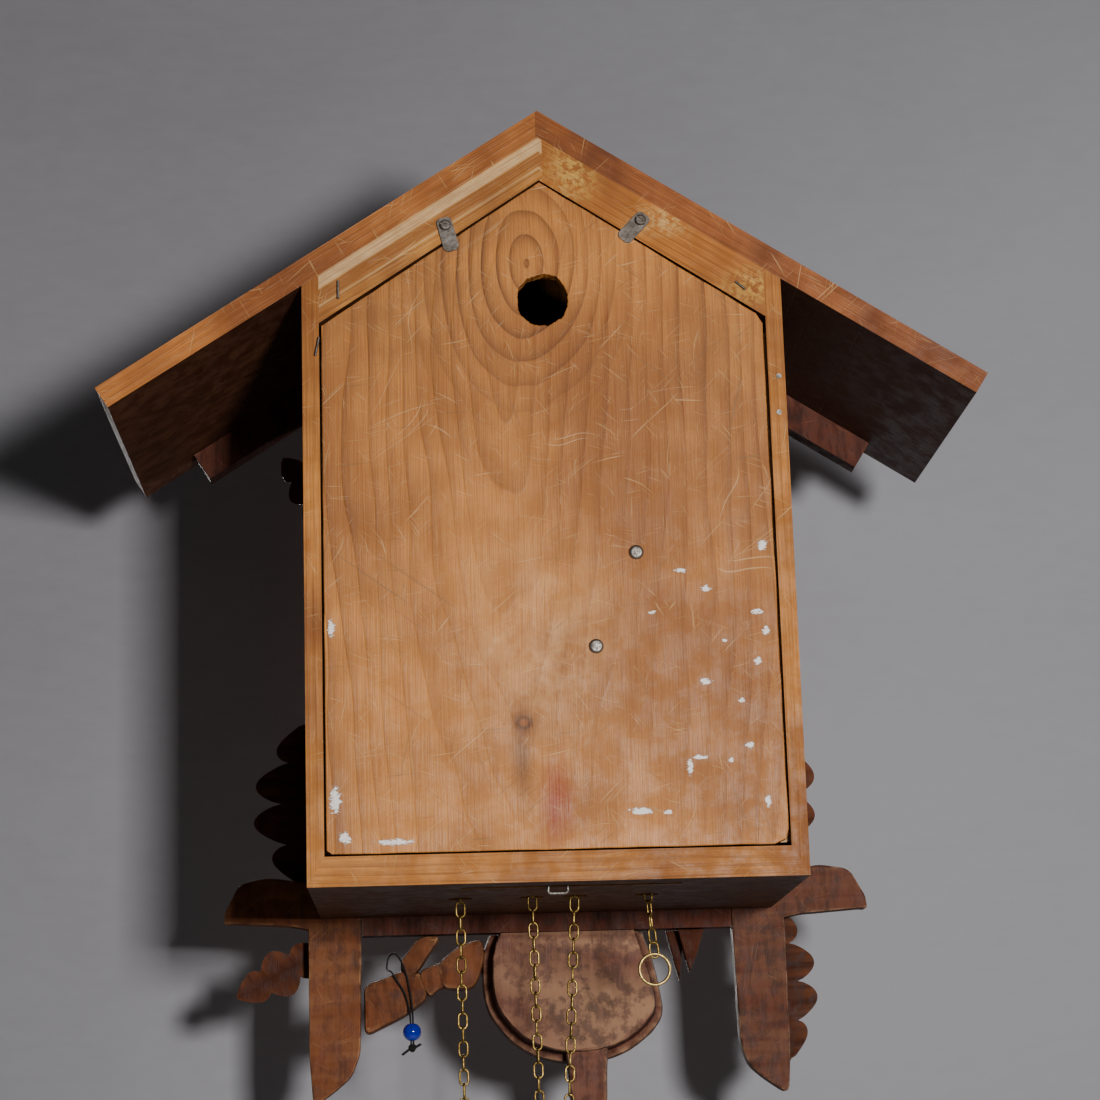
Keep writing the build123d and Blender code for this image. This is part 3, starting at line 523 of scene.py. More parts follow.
slope = math.radians(32.75)  # of the roof
caseLook = {
    "light": (0.58, 0.225, 0.036, 1),
    "dark": (0.22, 0.070, 0.011, 1),
    "stain": (0.030, 0.009, 0.004, 1),
    "ring": (0.13, 0.045, 0.014, 1),
    "worn": (0.62, 0.40, 0.18, 1),
    "spacing": 0.0032,
    "ringDepth": 0.55,
}
bareLook = dict(caseLook, stainShare=0.0, light=(0.60, 0.42, 0.22, 1), dark=(0.45, 0.28, 0.13, 1))
roofLook = dict(caseLook, light=(0.40, 0.125, 0.026, 1), dark=(0.09, 0.022, 0.007, 1), centre=(0.15, 0.02))
roofRightLook = dict(roofLook, light=(0.56, 0.20, 0.036, 1), dark=(0.20, 0.058, 0.012, 1))
rightRailLook = dict(
    caseLook,
    light=(0.66, 0.29, 0.055, 1),
    # painted light and shade of the milled grooves: a lit band, a groove's painted shadow and a thin painted
    # highlight
    paintedGrooveBands=[
        (0.0652, 0.0722, (0.74, 0.50, 0.24, 1), 0.75),
        (0.0590, 0.0652, (0.30, 0.11, 0.022, 1), 0.8),
        (0.0572, 0.0592, (0.66, 0.46, 0.22, 1), 0.5),
    ],
)
leftRailLook = dict(
    caseLook,
    light=(0.50, 0.175, 0.022, 1),
    spots=[
        ((-0.014, 0.056), (0.016, 0.020), (0.62, 0.36, 0.08, 1)),
        ((-0.088, 0.004), (0.020, 0.012), (0.62, 0.34, 0.07, 1)),
        ((-0.052, 0.034), (0.022, 0.010), (0.60, 0.36, 0.12, 1)),
    ],
)
carvedLook = {
    "light": (0.070, 0.016, 0.008, 1),
    "dark": (0.012, 0.003, 0.0015, 1),
    "scuffed": (0.115, 0.036, 0.023, 1),
    "worn": (0.34, 0.19, 0.11, 1),
}
warmLook = {
    "light": (0.135, 0.032, 0.008, 1),
    "dark": (0.026, 0.006, 0.002, 1),
    "scuffed": (0.150, 0.045, 0.018, 1),
    "worn": (0.42, 0.23, 0.11, 1),
}
leafLook = dict(
    warmLook,
    light=(0.062, 0.014, 0.005, 1),
    dark=(0.014, 0.003, 0.001, 1),
    scuffed=(0.05, 0.012, 0.005, 1),
    worn=(0.11, 0.035, 0.014, 1),
    scuff=0.3,
)
bagLook = dict(carvedLook, light=(0.085, 0.020, 0.010, 1), scuffed=(0.135, 0.052, 0.038, 1), scuff=0.95)
quarter = math.pi / 2
materials = {
    "panel": panelMaterial(),
    "case": boardMaterial("caseWood", caseLook),
    "bottom": boardMaterial("bottomWood", caseLook, (0, quarter, 0)),
    "roofRight": boardMaterial("roofWoodRight", roofRightLook, (0, quarter - slope, 0)),
    "roofLeft": boardMaterial("roofWoodLeft", roofLook, (0, quarter + slope, 0)),
    "railRight": boardMaterial("railWoodRight", rightRailLook, (0, quarter - slope, 0)),
    "railLeft": boardMaterial("railWoodLeft", leftRailLook, (0, quarter + slope, 0)),
    "carved": carvedMaterial("carvedDark", carvedLook),
    "warm": carvedMaterial("carvedWarm", warmLook),
    "leaf": carvedMaterial("leafWood", leafLook),
    "bag": carvedMaterial("bagWood", bagLook),
    "dial": carvedMaterial("dialWood", dict(carvedLook, scuffed=carvedLook["light"])),
    "steel": metalMaterial("dullSteel", (0.33, 0.31, 0.29, 1), (0.10, 0.08, 0.065, 1), 0.45, 0.8),
    "brass": metalMaterial("brass", (0.55, 0.39, 0.14, 1), (0.25, 0.16, 0.05, 1), 0.30),
    "chain": metalMaterial("chainBrass", (0.44, 0.30, 0.085, 1), (0.12, 0.07, 0.018, 1), 0.32, 0.75),
    "iron": metalMaterial("castIron", (0.16, 0.155, 0.15, 1), (0.06, 0.05, 0.045, 1), 0.55),
    "bone": plainMaterial("bone", (0.80, 0.74, 0.60, 1), (0.62, 0.53, 0.38, 1), 0.35),
    "string": plainMaterial("blackString", (0.012, 0.011, 0.011, 1), (0.004, 0.004, 0.004, 1), 0.8),
    "bare": boardMaterial("bareWood", bareLook),
    "skin": plainMaterial("bellowsSkin", (0.72, 0.65, 0.52, 1), (0.5, 0.42, 0.3, 1), 0.7),
    "door": carvedMaterial("doorWood", warmLook),
}


# deep blue glaze with a slow swirl
def beadMaterial():
    material, tree, shader, place = newMaterial(
        "cobaltGlaze", **{"Roughness": 0.08, "Coat Weight": 0.6, "Coat Roughness": 0.03}
    )
    swirl = cloud(tree, place, 160, 2.0, 0.5, 1.5)
    colour = blend(tree, swirl, (0.0, 0.006, 0.20, 1), (0.0, 0.02, 0.46, 1))
    tree.links.new(colour, shader.inputs["Base Color"])
    return material


materials["bead"] = beadMaterial()


# grey-brown back, barred pale belly, yellow beak and a bare wooden carriage
def birdMaterial():
    material, tree, shader, place = newMaterial("birdPaint", **{"Roughness": 0.5, "Specular IOR Level": 0.3})
    parts = split(tree, place)
    tone = toneOf(tree, place, 8.0)
    colour = blend(tree, tone["Small"], (0.16, 0.17, 0.19, 1), (0.075, 0.07, 0.07, 1))
    line = calc(tree, "ADD", parts[2], times(tree, parts[1], -0.12))
    belly = spread(tree, line, -0.0215, -0.0185, 1.0, 0.0)
    bars = spread(tree, calc(tree, "SINE", times(tree, parts[1], 2600.0)), 0.2, 0.7)
    front = blend(tree, times(tree, bars, 0.6), (0.62, 0.56, 0.44, 1), (0.16, 0.12, 0.09, 1))
    colour = blend(tree, belly, colour, front)
    colour = blend(tree, spread(tree, parts[1], -0.1190, -0.1182, 1.0, 0.0), colour, (0.70, 0.36, 0.03, 1))
    colour = blend(tree, spread(tree, parts[2], -0.0375, -0.0370, 1.0, 0.0), colour, (0.55, 0.36, 0.18, 1))
    tree.links.new(colour, shader.inputs["Base Color"])
    addBump(tree, shader, cloud(tree, stretch(tree, place, (1, 0.5, 1)), 900, 2.0), 0.0002, 0.6)
    return material


materials["bird"] = birdMaterial()

cadFinish = {
    "side_boards": "case",
    "front_board": "case",
    "inner_battens": "bare",
    "bottom_board": "bottom",
    "roof_board_left": "roofLeft",
    "roof_board_right": "roofRight",
    "gable_rail_left": "railLeft",
    "gable_rail_right": "railRight",
    "frame_bars": "carved",
    "frame_rail": "carved",
    "dial": "dial",
    "bellows_boxes": "bare",
    "bellows_cloth": "skin",
    "bellows_lid_left": "bare",
    "bellows_lid_right": "bare",
    "cuckoo": "bird",
    "cuckoo_door": "door",
    "gong_block": "iron",
    "numerals": "bone",
    "hour_hand": "bone",
    "minute_hand": "bone",
    "bead": "bead",
    "weight_hooks": "chain",
    "pull_ring_going": "brass",
    "pull_ring_strike": "brass",
}
steelNodes = (
    "turn_button_left turn_button_right wood_screws gong_rivets small_nails door_pin "
    "pendulum_wire gong_coil pallet_anchor"
)
for node in steelNodes.split():
    cadFinish[node] = "steel"
woodBevels = (
    "side_boards bottom_board front_board roof_board_left roof_board_right gable_rail_left gable_rail_right "
    "frame_bars frame_rail dial cuckoo_door hour_hand minute_hand"
)


# every CAD node gets its material, and the wooden ones softened edges
def finishNodes():
    for name, node in nodes.items():
        material = materials[cadFinish.get(name, "brass")]
        node.data.materials.clear()
        node.data.materials.append(material)
    for name in woodBevels.split():
        bevel = nodes[name].modifiers.new("softEdge", "BEVEL")
        bevel.width = 0.0005
        bevel.segments = 2
        bevel.limit_method = "ANGLE"
        bevel.angle_limit = math.radians(35)
        bevel.harden_normals = False


finishNodes()
print("materials done")


# one visible piece that rides a body and stands for the nodes it replaces
def addPiece(name, mesh, body, material, replaced, smooth):
    piece = bpy.data.objects.new(name, mesh)
    bpy.context.collection.objects.link(piece)
    mesh.materials.clear()
    mesh.materials.append(materials[material])
    for polygon in mesh.polygons:
        polygon.use_smooth = True
    mesh.set_sharp_from_angle(angle=math.radians(smooth))
    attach(piece, body)
    if replaced:
        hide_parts(*replaced)
    return piece


# the finished mesh of an object with modifiers or curves; the object goes
def meshOf(holder):
    bpy.context.collection.objects.link(holder)
    graph = bpy.context.evaluated_depsgraph_get()
    mesh = bpy.data.meshes.new_from_object(holder.evaluated_get(graph))
    bpy.data.objects.remove(holder)
    return mesh


# the mesh of a finished build, its faces turned outwards
def meshFrom(build, name):
    bmesh.ops.recalc_face_normals(build, faces=build.faces)
    mesh = bpy.data.meshes.new(name)
    build.to_mesh(mesh)
    build.free()
    return mesh


# several meshes as one; the parts go
def joinMeshes(name, parts):
    build = bmesh.new()
    for part in parts:
        build.from_mesh(part)
        bpy.data.meshes.remove(part)
    mesh = bpy.data.meshes.new(name)
    build.to_mesh(mesh)
    build.free()
    return mesh


# skins rings of vertices, closed by a cap at each end or by joining the last to the first
def skinRings(build, rings, wrapped=False):
    for a, b in zip(rings, rings[1:] + rings[:1] if wrapped else rings[1:]):
        for i in range(len(a)):
            j = (i + 1) % len(a)
            build.faces.new((a[i], a[j], b[j], b[i]))
    if not wrapped:
        build.faces.new(rings[0][::-1])
        build.faces.new(rings[-1])


# the cosines and sines of equal turns round a circle
def roundSteps(count):
    angles = [2 * math.pi * i / count for i in range(count)]
    return [(math.cos(angle), math.sin(angle)) for angle in angles]


def inMetres(points):
    return [tuple(value * mm for value in point) for point in points]


def joinClose(mesh, distance=0.000002):
    build = bmesh.new()
    build.from_mesh(mesh)
    bmesh.ops.remove_doubles(build, verts=build.verts, dist=distance)
    bmesh.ops.recalc_face_normals(build, faces=build.faces)
    build.to_mesh(mesh)
    build.free()
    return mesh


# a board cut to outlines in X and Z, the first its edge and the rest its holes
def cutBoard(name, outlines, yLow, yHigh, bevel):
    curve = bpy.data.curves.new(name, "CURVE")
    curve.dimensions = "2D"
    curve.fill_mode = "BOTH"
    for outline in outlines:
        spline = curve.splines.new("POLY")
        spline.points.add(len(outline) - 1)
        for point, (x, z) in zip(spline.points, outline):
            point.co = (x, z, 0, 1)
        spline.use_cyclic_u = True
    curve.extrude = (yHigh - yLow) / 2 - bevel
    curve.bevel_depth = bevel
    curve.bevel_resolution = 1
    curve.offset = -bevel
    mesh = meshOf(bpy.data.objects.new(name, curve))
    stand = Matrix(((1, 0, 0, 0), (0, 0, -1, (yLow + yHigh) / 2), (0, 1, 0, 0), (0, 0, 0, 1)))
    mesh.transform(stand)
    return joinClose(mesh)


# walks an outline in short steps and moves each point a little
def ragged(points, step, amount, seed):
    walked = []
    for (ax, az), (bx, bz) in zip(points, points[1:] + points[:1]):
        count = max(1, round(math.dist((ax, az), (bx, bz)) / step))
        for i in range(count):
            share = i / count
            x, z = ax + (bx - ax) * share, az + (bz - az) * share
            push = noise.noise_vector(Vector((x * 90, z * 90, seed)))
            walked.append((x + push.x * amount, z + push.y * amount))
    return walked


panelCut = {"inset": 0.0003, "shoulder": -0.0088, "hole": 0.01075, "holeSteps": 72, "bevel": 0.0004}


# the panel with its chipped corners and its roughly cut hanging hole
def backPanel():
    low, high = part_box("back_panel")
    inset, shoulder = panelCut["inset"], panelCut["shoulder"]
    left, right, bottom, apex = low.x + inset, high.x - inset, low.z + inset, high.z - inset
    outline = [
        (left, bottom + 0.006),
        (left + 0.001, bottom + 0.002),
        (left + 0.006, bottom),
        (right - 0.002, bottom),
        (right, bottom + 0.0015),
        (right, shoulder - 0.001),
        (right - 0.0015, shoulder),
        (0.0, apex),
        (left + 0.003, shoulder + 0.0015),
        (left + 0.0005, shoulder - 0.003),
    ]
    outline = ragged(outline, 0.006, 0.00025, 3.1)
    hole = []
    for across, up in roundSteps(panelCut["holeSteps"]):
        rough = noise.noise(Vector((across * 2.2, up * 2.2, 7.7)))
        fine = noise.noise(Vector((across * 9, up * 9, 1.2)))
        reach = panelCut["hole"] + 0.0009 * rough + 0.00045 * fine
        hole.append((reach * across * 0.97, reach * up * 1.06))
    mesh = cutBoard("backPanel", [outline, hole], low.y, high.y, panelCut["bevel"])
    addPiece("backPanel", mesh, "case", "panel", ["back_panel"], 12)


backPanel()


# points along a smooth curve through the given ones
def smoothPath(points, count):
    walked = []
    last = len(points) - 1
    for i in range(last):
        a, b, c, d = (points[min(max(i + k, 0), last)] for k in (-1, 0, 1, 2))
        for step in range(count):
            t = step / count
            place = []
            for p, q, r, s in zip(a, b, c, d):
                square, cube = 2 * p - 5 * q + 4 * r - s, 3 * q - p - 3 * r + s
                place.append(0.5 * (2 * q + (r - p) * t + square * t * t + cube * t**3))
            walked.append(tuple(place))
    return walked + [tuple(points[-1])]


# an outline walked in short steps, its corners cut a little and its edge wavy
def softOutline(points, sharp, step, wave, seed):
    walked = []
    longest = 0.004  # of the stretch cut off each side of a corner
    for i, here in enumerate(points):
        if i in sharp:
            walked.append(here)
            continue
        ends = []
        for other in (points[i - 1], points[(i + 1) % len(points)]):
            share = min(0.35, longest / max(math.dist(here, other), 1e-6))
            ends.append([here[j] + (other[j] - here[j]) * share for j in (0, 1)])
        a, b = ends
        for k in range(5):
            t = k / 4
            first, second, third = (1 - t) ** 2, 2 * t * (1 - t), t * t
            walked.append(tuple(first * a[j] + second * here[j] + third * b[j] for j in (0, 1)))
    return ragged(walked, step, wave, seed)


# writes how worn each point is: high on outward edges, none in hollows
def markWear(mesh, gain):
    build = bmesh.new()
    build.from_mesh(mesh)
    build.verts.ensure_lookup_table()
    found = [0.0] * len(build.verts)
    for vertex in build.verts:
        for edge in vertex.link_edges:
            if len(edge.link_faces) == 2:
                angle = edge.calc_face_angle_signed(0.0)
                found[vertex.index] = max(found[vertex.index], angle)
    for vertex in build.verts:
        place = vertex.co * 260
        patch = 0.55 + 0.9 * noise.noise(place) + 0.4 * noise.noise(place * 3)
        found[vertex.index] = min(1.0, max(0.0, (found[vertex.index] - 0.25) * gain * patch))
    build.free()
    layer = mesh.attributes.new("worn", "FLOAT", "POINT")
    layer.data.foreach_set("value", found)


stileShape = [  # x and height of each corner; None is the top, which follows the roof
    (82, None),
    (82, -250),
    (84, -302),
    (87.6, -311),
    (93.8, -316.6),
    (104.5, -324),
    (106, -303),
    (106, -246.9),
    (113, -245),
    (140, -243),
    (143.5, -243.5),
    (143, -238),
    (141, -234.5),
    (136.4, -225.5),
    (123, -223.3),
    (106, -226),
    (106, None),
]
stileCut = {"inset": 0.0003, "topInset": 0.0004, "width": 0.024, "sharp": {0, 7, 15, 16}, "bevel": 0.0008}


# one upright of the front frame with its sawn lower ornament
def stilePiece(side, material):
    low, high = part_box("frame_stile_" + side)
    sign = -1 if side == "left" else 1
    inset = stileCut["inset"]
    points = []
    for x, z in stileShape:
        across = x * mm + (inset if x < 84 else -inset)
        if z is None:
            drop = stileCut["width"] * math.tan(slope) if x > 84 else 0.0
            height = high.z - stileCut["topInset"] - drop
        else:
            height = z * mm + (inset if z < -245 else 0.0)
        points.append((sign * across, height))
    outline = softOutline(points, stileCut["sharp"], 0.002, 0.0003, 5.0 + sign)
    mesh = cutBoard(side + "Stile", [outline], low.y + 0.0001, high.y - 0.0001, stileCut["bevel"])
    markWear(mesh, 1.3)
    addPiece(side + "Stile", mesh, "case", material, ["frame_stile_" + side], 12)


stilePiece("left", "carved")
stilePiece("right", "warm")


leafCut = {"steps": 76, "across": 14, "rib": 0.0012, "vein": 0.07, "sweep": 0.16, "edge": 0.10}


# how far an oak leaf reaches aside at each step from its base to its tip, with rounded lobes
def leafReach(halfWidth, lobes):
    sides = []
    for i in range(leafCut["steps"] + 1):
        t = i / leafCut["steps"]
        body = math.sin(math.pi * min(1.0, 0.10 + 0.88 * t)) ** 0.55 * (0.72 + 0.28 * math.sin(math.pi * t))
        lobe = math.sin(math.pi * ((t * lobes) % 1.0)) ** 0.7
        reach = halfWidth * body * (0.50 + 0.50 * lobe)
        if t > 0.985:
            reach *= 0.5
        sides.append((t, reach))
    return sides


# how high the carving stands at a place on the leaf: domed, ribbed and veined
def leafHeight(t, v, reach, lobes):
    if abs(v) == 1:
        return leafCut["edge"]
    rib = math.exp(-((v * reach / leafCut["rib"]) ** 2))
    dome = 1 - abs(v) ** 2.2
    phase = (t * lobes - 0.55 * abs(v)) % 1.0
    vein = math.exp(-(((phase - 0.5) / leafCut["vein"]) ** 2)) * (1 - abs(v))
    swell = 0.55 + 0.45 * math.sin(math.pi * min(1, t * 0.9 + 0.08))
    return (0.25 + 0.60 * dome + 0.15 * rib - 0.16 * vein) * swell


# relief leaves with a raised midrib, sunk veins and a flat back
def leafPiece(name, leaves, depth, material, replaced, tips=()):
    build = bmesh.new()
    back, front = max(depth), min(depth)
    across = leafCut["across"]
    for number, (base, tip, halfWidth, lobes) in enumerate(leaves):
        base, tip, half = Vector(base) * mm, Vector(tip) * mm, halfWidth * mm
        along = tip - base
        side = Vector((-along.y, along.x)).normalized()
        grid = []
        for t, reach in leafReach(half, lobes):
            row = []
            for k in range(-across, across + 1):
                v = k / across
                sweep = leafCut["sweep"] * abs(v) * half
                place = base + along * t + side * v * reach + along.normalized() * sweep * (1 - t)
                height = min(1.0, max(0.08, leafHeight(t, v, reach, lobes)))
                row.append(build.verts.new((place.x, back + (front + 0.0002 - back) * height, place.y)))
            grid.append(row)
        flat = back - 0.0001 * (number + 1)  # backs that cross lie at depths of their own
        under = []
        for row in grid:
            ends = (row[0], row[across], row[-1])
            under.append([build.verts.new((vertex.co.x, flat, vertex.co.z)) for vertex in ends])
        for a, b in zip(grid, grid[1:]):
            for p, q, r, s in zip(a, a[1:], b[1:], b):
                build.faces.new((p, q, r, s))
        for (a, b), (ua, ub) in zip(zip(grid, grid[1:]), zip(under, under[1:])):
            build.faces.new((a[0], b[0], ub[0], ua[0]))
            build.faces.new((b[-1], a[-1], ua[-1], ub[-1]))
            build.faces.new((ua[0], ub[0], ub[1], ua[1]))
            build.faces.new((ua[1], ub[1], ub[2], ua[2]))
        for row, low in ((grid[0], under[0]), (grid[-1], under[-1])):
            build.faces.new(row[: across + 1] + [low[1], low[0]])
            build.faces.new(row[across:] + [low[2], low[1]])
    mesh = meshFrom(build, name)
    if tips:
        cuts = []
        for outline, low, high in tips:
            ragging = ragged(inMetres(outline), 0.0015, 0.0002, 2.0)
            cuts.append(cutBoard(name + "Tip", [ragging], low, high, 0.0008))
        mesh = joinMeshes(name, [mesh, *cuts])
    markWear(mesh, 0.9)
    addPiece(name, mesh, "case", material, replaced, 38)


# base, tip, half width and number of lobes of each leaf
leafPiece(
    "leavesLeft",
    [
        ((-100, -232), (-107, -150), 21.0, 4),
        ((-99, -238), (-106, -309), 18.2, 4),
        ((-92, -152), (-90, -76), 14.2, 4),
        ((-86, -66), (-116, -28), 10.8, 4),
        ((-84, -214), (-58, -228), 8.8, 3),
    ],
    (-0.142, -0.150),
    "leaf",
    ["oak_leaves_left"],
    [
        ([(-53.4, -250.4), (-62, -250.4), (-60, -262), (-58.7, -272.6)], -0.148, -0.141),
        ([(-58, -250.4), (-70, -250.4), (-66.8, -260), (-62.8, -269.6)], -0.141, -0.134),
    ],
)
leafPiece(
    "leavesRight",
    [
        ((104, -230), (105, -152), 26.5, 4),
        ((98, -254), (138, -275), 10.8, 3),
        ((92, -152), (90, -76), 14.2, 4),
        ((86, -66), (116, -28), 10.8, 4),
        ((84, -214), (58, -228), 8.8, 3),
    ],
    (-0.142, -0.150),
    "leaf",
    ["oak_leaves_right"],
)
leafPiece(
    "crownLeaves",
    [((0, 44), (0, 127.6), 18.6, 4), ((4, 58), (58, 84), 13.6, 4), ((-4, 58), (-58, 84), 13.6, 4)],
    (-0.150, -0.159),
    "carved",
    ["crown_leaves"],
)


bagCut = {
    "outline": [
        (21, -250.2),
        (24.4, -262),
        (22.5, -282),
        (9, -297.4),
        (-10.6, -302.7),
        (-30.5, -299.3),
        (-45.5, -287),
        (-44.7, -272),
        (-38.5, -250.2),
    ],
    "centre": (-0.011, -0.266),
    "rings": [  # depth and growth, from the back to the front
        (-0.1323, -0.0004),
        (-0.1328, 0.0),
        (-0.1400, 0.0004),
        (-0.1424, 0.0012),
        (-0.1436, 0.0040),
        (-0.1470, 0.0049),
        (-0.1505, 0.0046),
        (-0.1530, 0.0028),
        (-0.1552, -0.0010),
        (-0.1558, -0.0060),
    ],
    "rail": -0.2502,
    "tassel": [(-6.4, -300), (-25.4, -300), (-24.2, -324), (-20.5, -347.6), (-12.5, -347.6), (-8.5, -324)],
    "tasselDepth": (-0.1518, -0.1342),
}


# the bag: a flat worn back, a fuller front, and its tassel
def huntingBag():
    edge = smoothPath(inMetres(bagCut["outline"]), 12)
    centre = Vector(bagCut["centre"])
    build = bmesh.new()
    rings = []
    for number, (y, grow) in enumerate(bagCut["rings"]):
        ring = []
        for x, z in edge:
            out = (Vector((x, z)) - centre).normalized()
            swell = grow + 0.00018 * noise.noise(Vector((x * 300, z * 300, number)))
            atRail = z > bagCut["rail"] - 0.0004 and grow > 0
            lift = 0 if atRail else min(out.y, 0.2) * swell
            ring.append(build.verts.new((x + out.x * swell, y, min(z + lift, bagCut["rail"]))))
        rings.append(ring)
    skinRings(build, rings)
    outline = softOutline(inMetres(bagCut["tassel"]), {0, 1}, 0.0015, 0.0003, 9.0)
    tassel = cutBoard("tassel", [outline], *bagCut["tasselDepth"], 0.0022)
    mesh = joinMeshes("huntingBag", [meshFrom(build, "bag"), tassel])
    markWear(mesh, 1.2)
    addPiece("huntingBag", mesh, "case", "bag", ["hunting_bag"], 34)


huntingBag()


hornParts = [  # outline in millimetres, depths and bevel of each knife-cut part
    (
        [(81.6, -271.2), (71.3, -267.9), (65.3, -265.2), (58, -266.4)]
        + [(57.1, -265.4), (52.9, -277.6), (62.8, -284.7), (81.6, -293.4)],
        (-0.1498, -0.1342),
        0.0019,
    ),
    (
        [(65.3, -265.6), (65.3, -260.6), (56.6, -250.4), (46.9, -250.4), (57.2, -265.2), (60, -268)],
        (-0.1486, -0.1344),
        0.0016,
    ),
    (
        [(57.0, -265.4), (49.6, -262.8), (48.0, -262.4), (45.5, -267)]
        + [(46.5, -273.9), (48.5, -273.8), (52.6, -277.5), (56, -272)],
        (-0.1470, -0.1352),
        0.0015,
    ),
    (
        [(49.0, -262.8), (40.6, -255.6), (29.4, -251.9), (27.6, -259.7)]
        + [(30.9, -270.3), (34.5, -274.2), (46.8, -273.8), (48.6, -268)],
        (-0.1498, -0.1343),
        0.0019,
    ),
]


# the horn and its twig, faceted by the knife
def huntingHorn():
    cuts = []
    for shape, depth, bevel in hornParts:
        outline = softOutline(inMetres(shape), (), 0.004, 0.00025, 4.0)
        cuts.append(cutBoard("hornPart", [outline], *depth, bevel))
    mesh = joinMeshes("huntingHorn", cuts)
    markWear(mesh, 0.7)
    addPiece("huntingHorn", mesh, "case", "warm", ["hunting_horn"], 30)


huntingHorn()
print("carvings done")


dialCentre = sum(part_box("dial"), Vector()) / 2
dialProfile = [  # radius and depth, from the middle outwards
    (5.5, 132.1), (5.5, 139.7), (6.2, 139.95), (12.6, 139.95), (13.8, 139.2), (15.2, 137.4), (17.4, 136.7),
    (21.0, 137.3), (26.0, 137.6), (29.2, 137.8), (30.4, 138.6), (31.4, 138.95), (46.4, 138.95), (47.2, 138.1),
    (48.0, 137.7), (48.9, 137.9), (49.5, 137.2), (49.8, 135.6), (49.8, 132.1),
]


# the dial, turned on a lathe with a raised middle and a rolled edge
def turnedDial():
    build = bmesh.new()
    rings = []
    for r, depth in dialProfile:
        ring = []
        for across, up in roundSteps(120):
            x, z = dialCentre.x + r * mm * across, dialCentre.z + r * mm * up
            ring.append(build.verts.new((x, -depth * mm, z)))
        rings.append(ring)
    skinRings(build, rings, wrapped=True)
    mesh = meshFrom(build, "turnedDial")
    markWear(mesh, 0.6)
    addPiece("turnedDial", mesh, "case", "dial", ["dial"], 28)


turnedDial()

figures = {  # millimetres
    "words": ["XII", "I", "II", "III", "IV", "V", "VI", "VII", "VIII", "IX", "X", "XI"],
    "widths": {"I": 1.15, "V": 3.2, "X": 3.2},
    "tall": 8.6,
    "bold": 0.75,
    "thin": 0.38,
    "widest": 6.6,
    "reach": 39,
    "depth": 140.04,
    "paint": 0.12,
}


# one painted stroke between two points of a numeral's own plane
def strokeBox(build, a, b, wide, place):
    along = (Vector(b) - Vector(a)).normalized()
    side = Vector((-along.y, along.x)) * wide / 2
    corners = [Vector(a) + side, Vector(b) + side, Vector(b) - side, Vector(a) - side]
    low = [build.verts.new(place(corner, 0.0)) for corner in corners]
    top = [build.verts.new(place(corner, figures["paint"] * mm)) for corner in corners]
    build.faces.new(low)
    build.faces.new(top[::-1])
    for i in range(4):
        j = (i + 1) % 4
        build.faces.new((low[i], low[j], top[j], top[i]))


# roman figures painted on the twelve plates, their feet towards the middle
def paintedNumerals():
    widths, bold, thin = figures["widths"], figures["bold"], figures["thin"]
    low, high = -figures["tall"] / 2, figures["tall"] / 2
    build = bmesh.new()
    for hour, word in enumerate(figures["words"]):
        angle = math.radians(30 * hour)
        out = Vector((math.sin(angle), math.cos(angle)))
        right = Vector((math.cos(angle), -math.sin(angle)))
        total = sum(widths[letter] for letter in word)
        squeeze = min(1.0, figures["widest"] / total)
        pen = -total * squeeze / 2

        def place(spot, lift):
            flat = dialCentre.xz + out * (figures["reach"] + spot.y) * mm + right * spot.x * mm
            return (flat.x, -figures["depth"] * mm - lift, flat.y)

        for letter in word:
            wide = widths[letter] * squeeze
            left, end, mid = pen + 0.12, pen + wide - 0.12, pen + wide / 2
            if letter == "I":
                strokeBox(build, (mid, low), (mid, high), bold, place)
            elif letter == "V":
                strokeBox(build, (left + 0.3, high), (mid, low), bold, place)
                strokeBox(build, (mid, low), (end - 0.2, high), thin, place)
            else:
                strokeBox(build, (left + 0.3, high), (end - 0.3, low), bold, place)
                strokeBox(build, (left + 0.3, low), (end - 0.3, high), thin, place)
            pen += wide
        for edge in (low, high):
            strokeBox(build, (-total * squeeze / 2, edge), (total * squeeze / 2, edge), thin, place)
    addPiece("paintedNumerals", meshFrom(build, "paintedNumerals"), "case", "string", (), 20)


paintedNumerals()


birdCut = {  # millimetres
    "sections": [  # y, z, half width and half height, from the beak to the tail
        (-123.6, -19.9, 0.3, 0.3), (-121.0, -19.6, 1.1, 1.1), (-118.6, -19.4, 2.2, 2.3),
        (-117.4, -19.2, 4.6, 4.6), (-113.0, -18.8, 6.2, 6.3), (-108.0, -21.4, 5.5, 5.9),
        (-102.0, -25.6, 7.0, 7.4), (-95.0, -28.4, 8.0, 8.0), (-88.0, -30.8, 6.6, 6.0),
        (-82.0, -33.2, 4.2, 3.4), (-76.0, -34.4, 3.8, 1.6), (-67.0, -34.9, 4.7, 1.0),
        (-62.5, -35.1, 4.3, 0.7),
    ],
    "wingAt": (6.9, -92.5, -27.6),
    "wingSize": (1.9, 12.0, 4.4, 1),
    "eyeAt": (4.9, -115.0, -17.0),
    "eye": 0.95,
    "postAt": (0, -98, -39),
    "post": (3.2, 2.4, 8.6),
    "sledSize": (0.012, 0.038, 0.0033, 1),
}


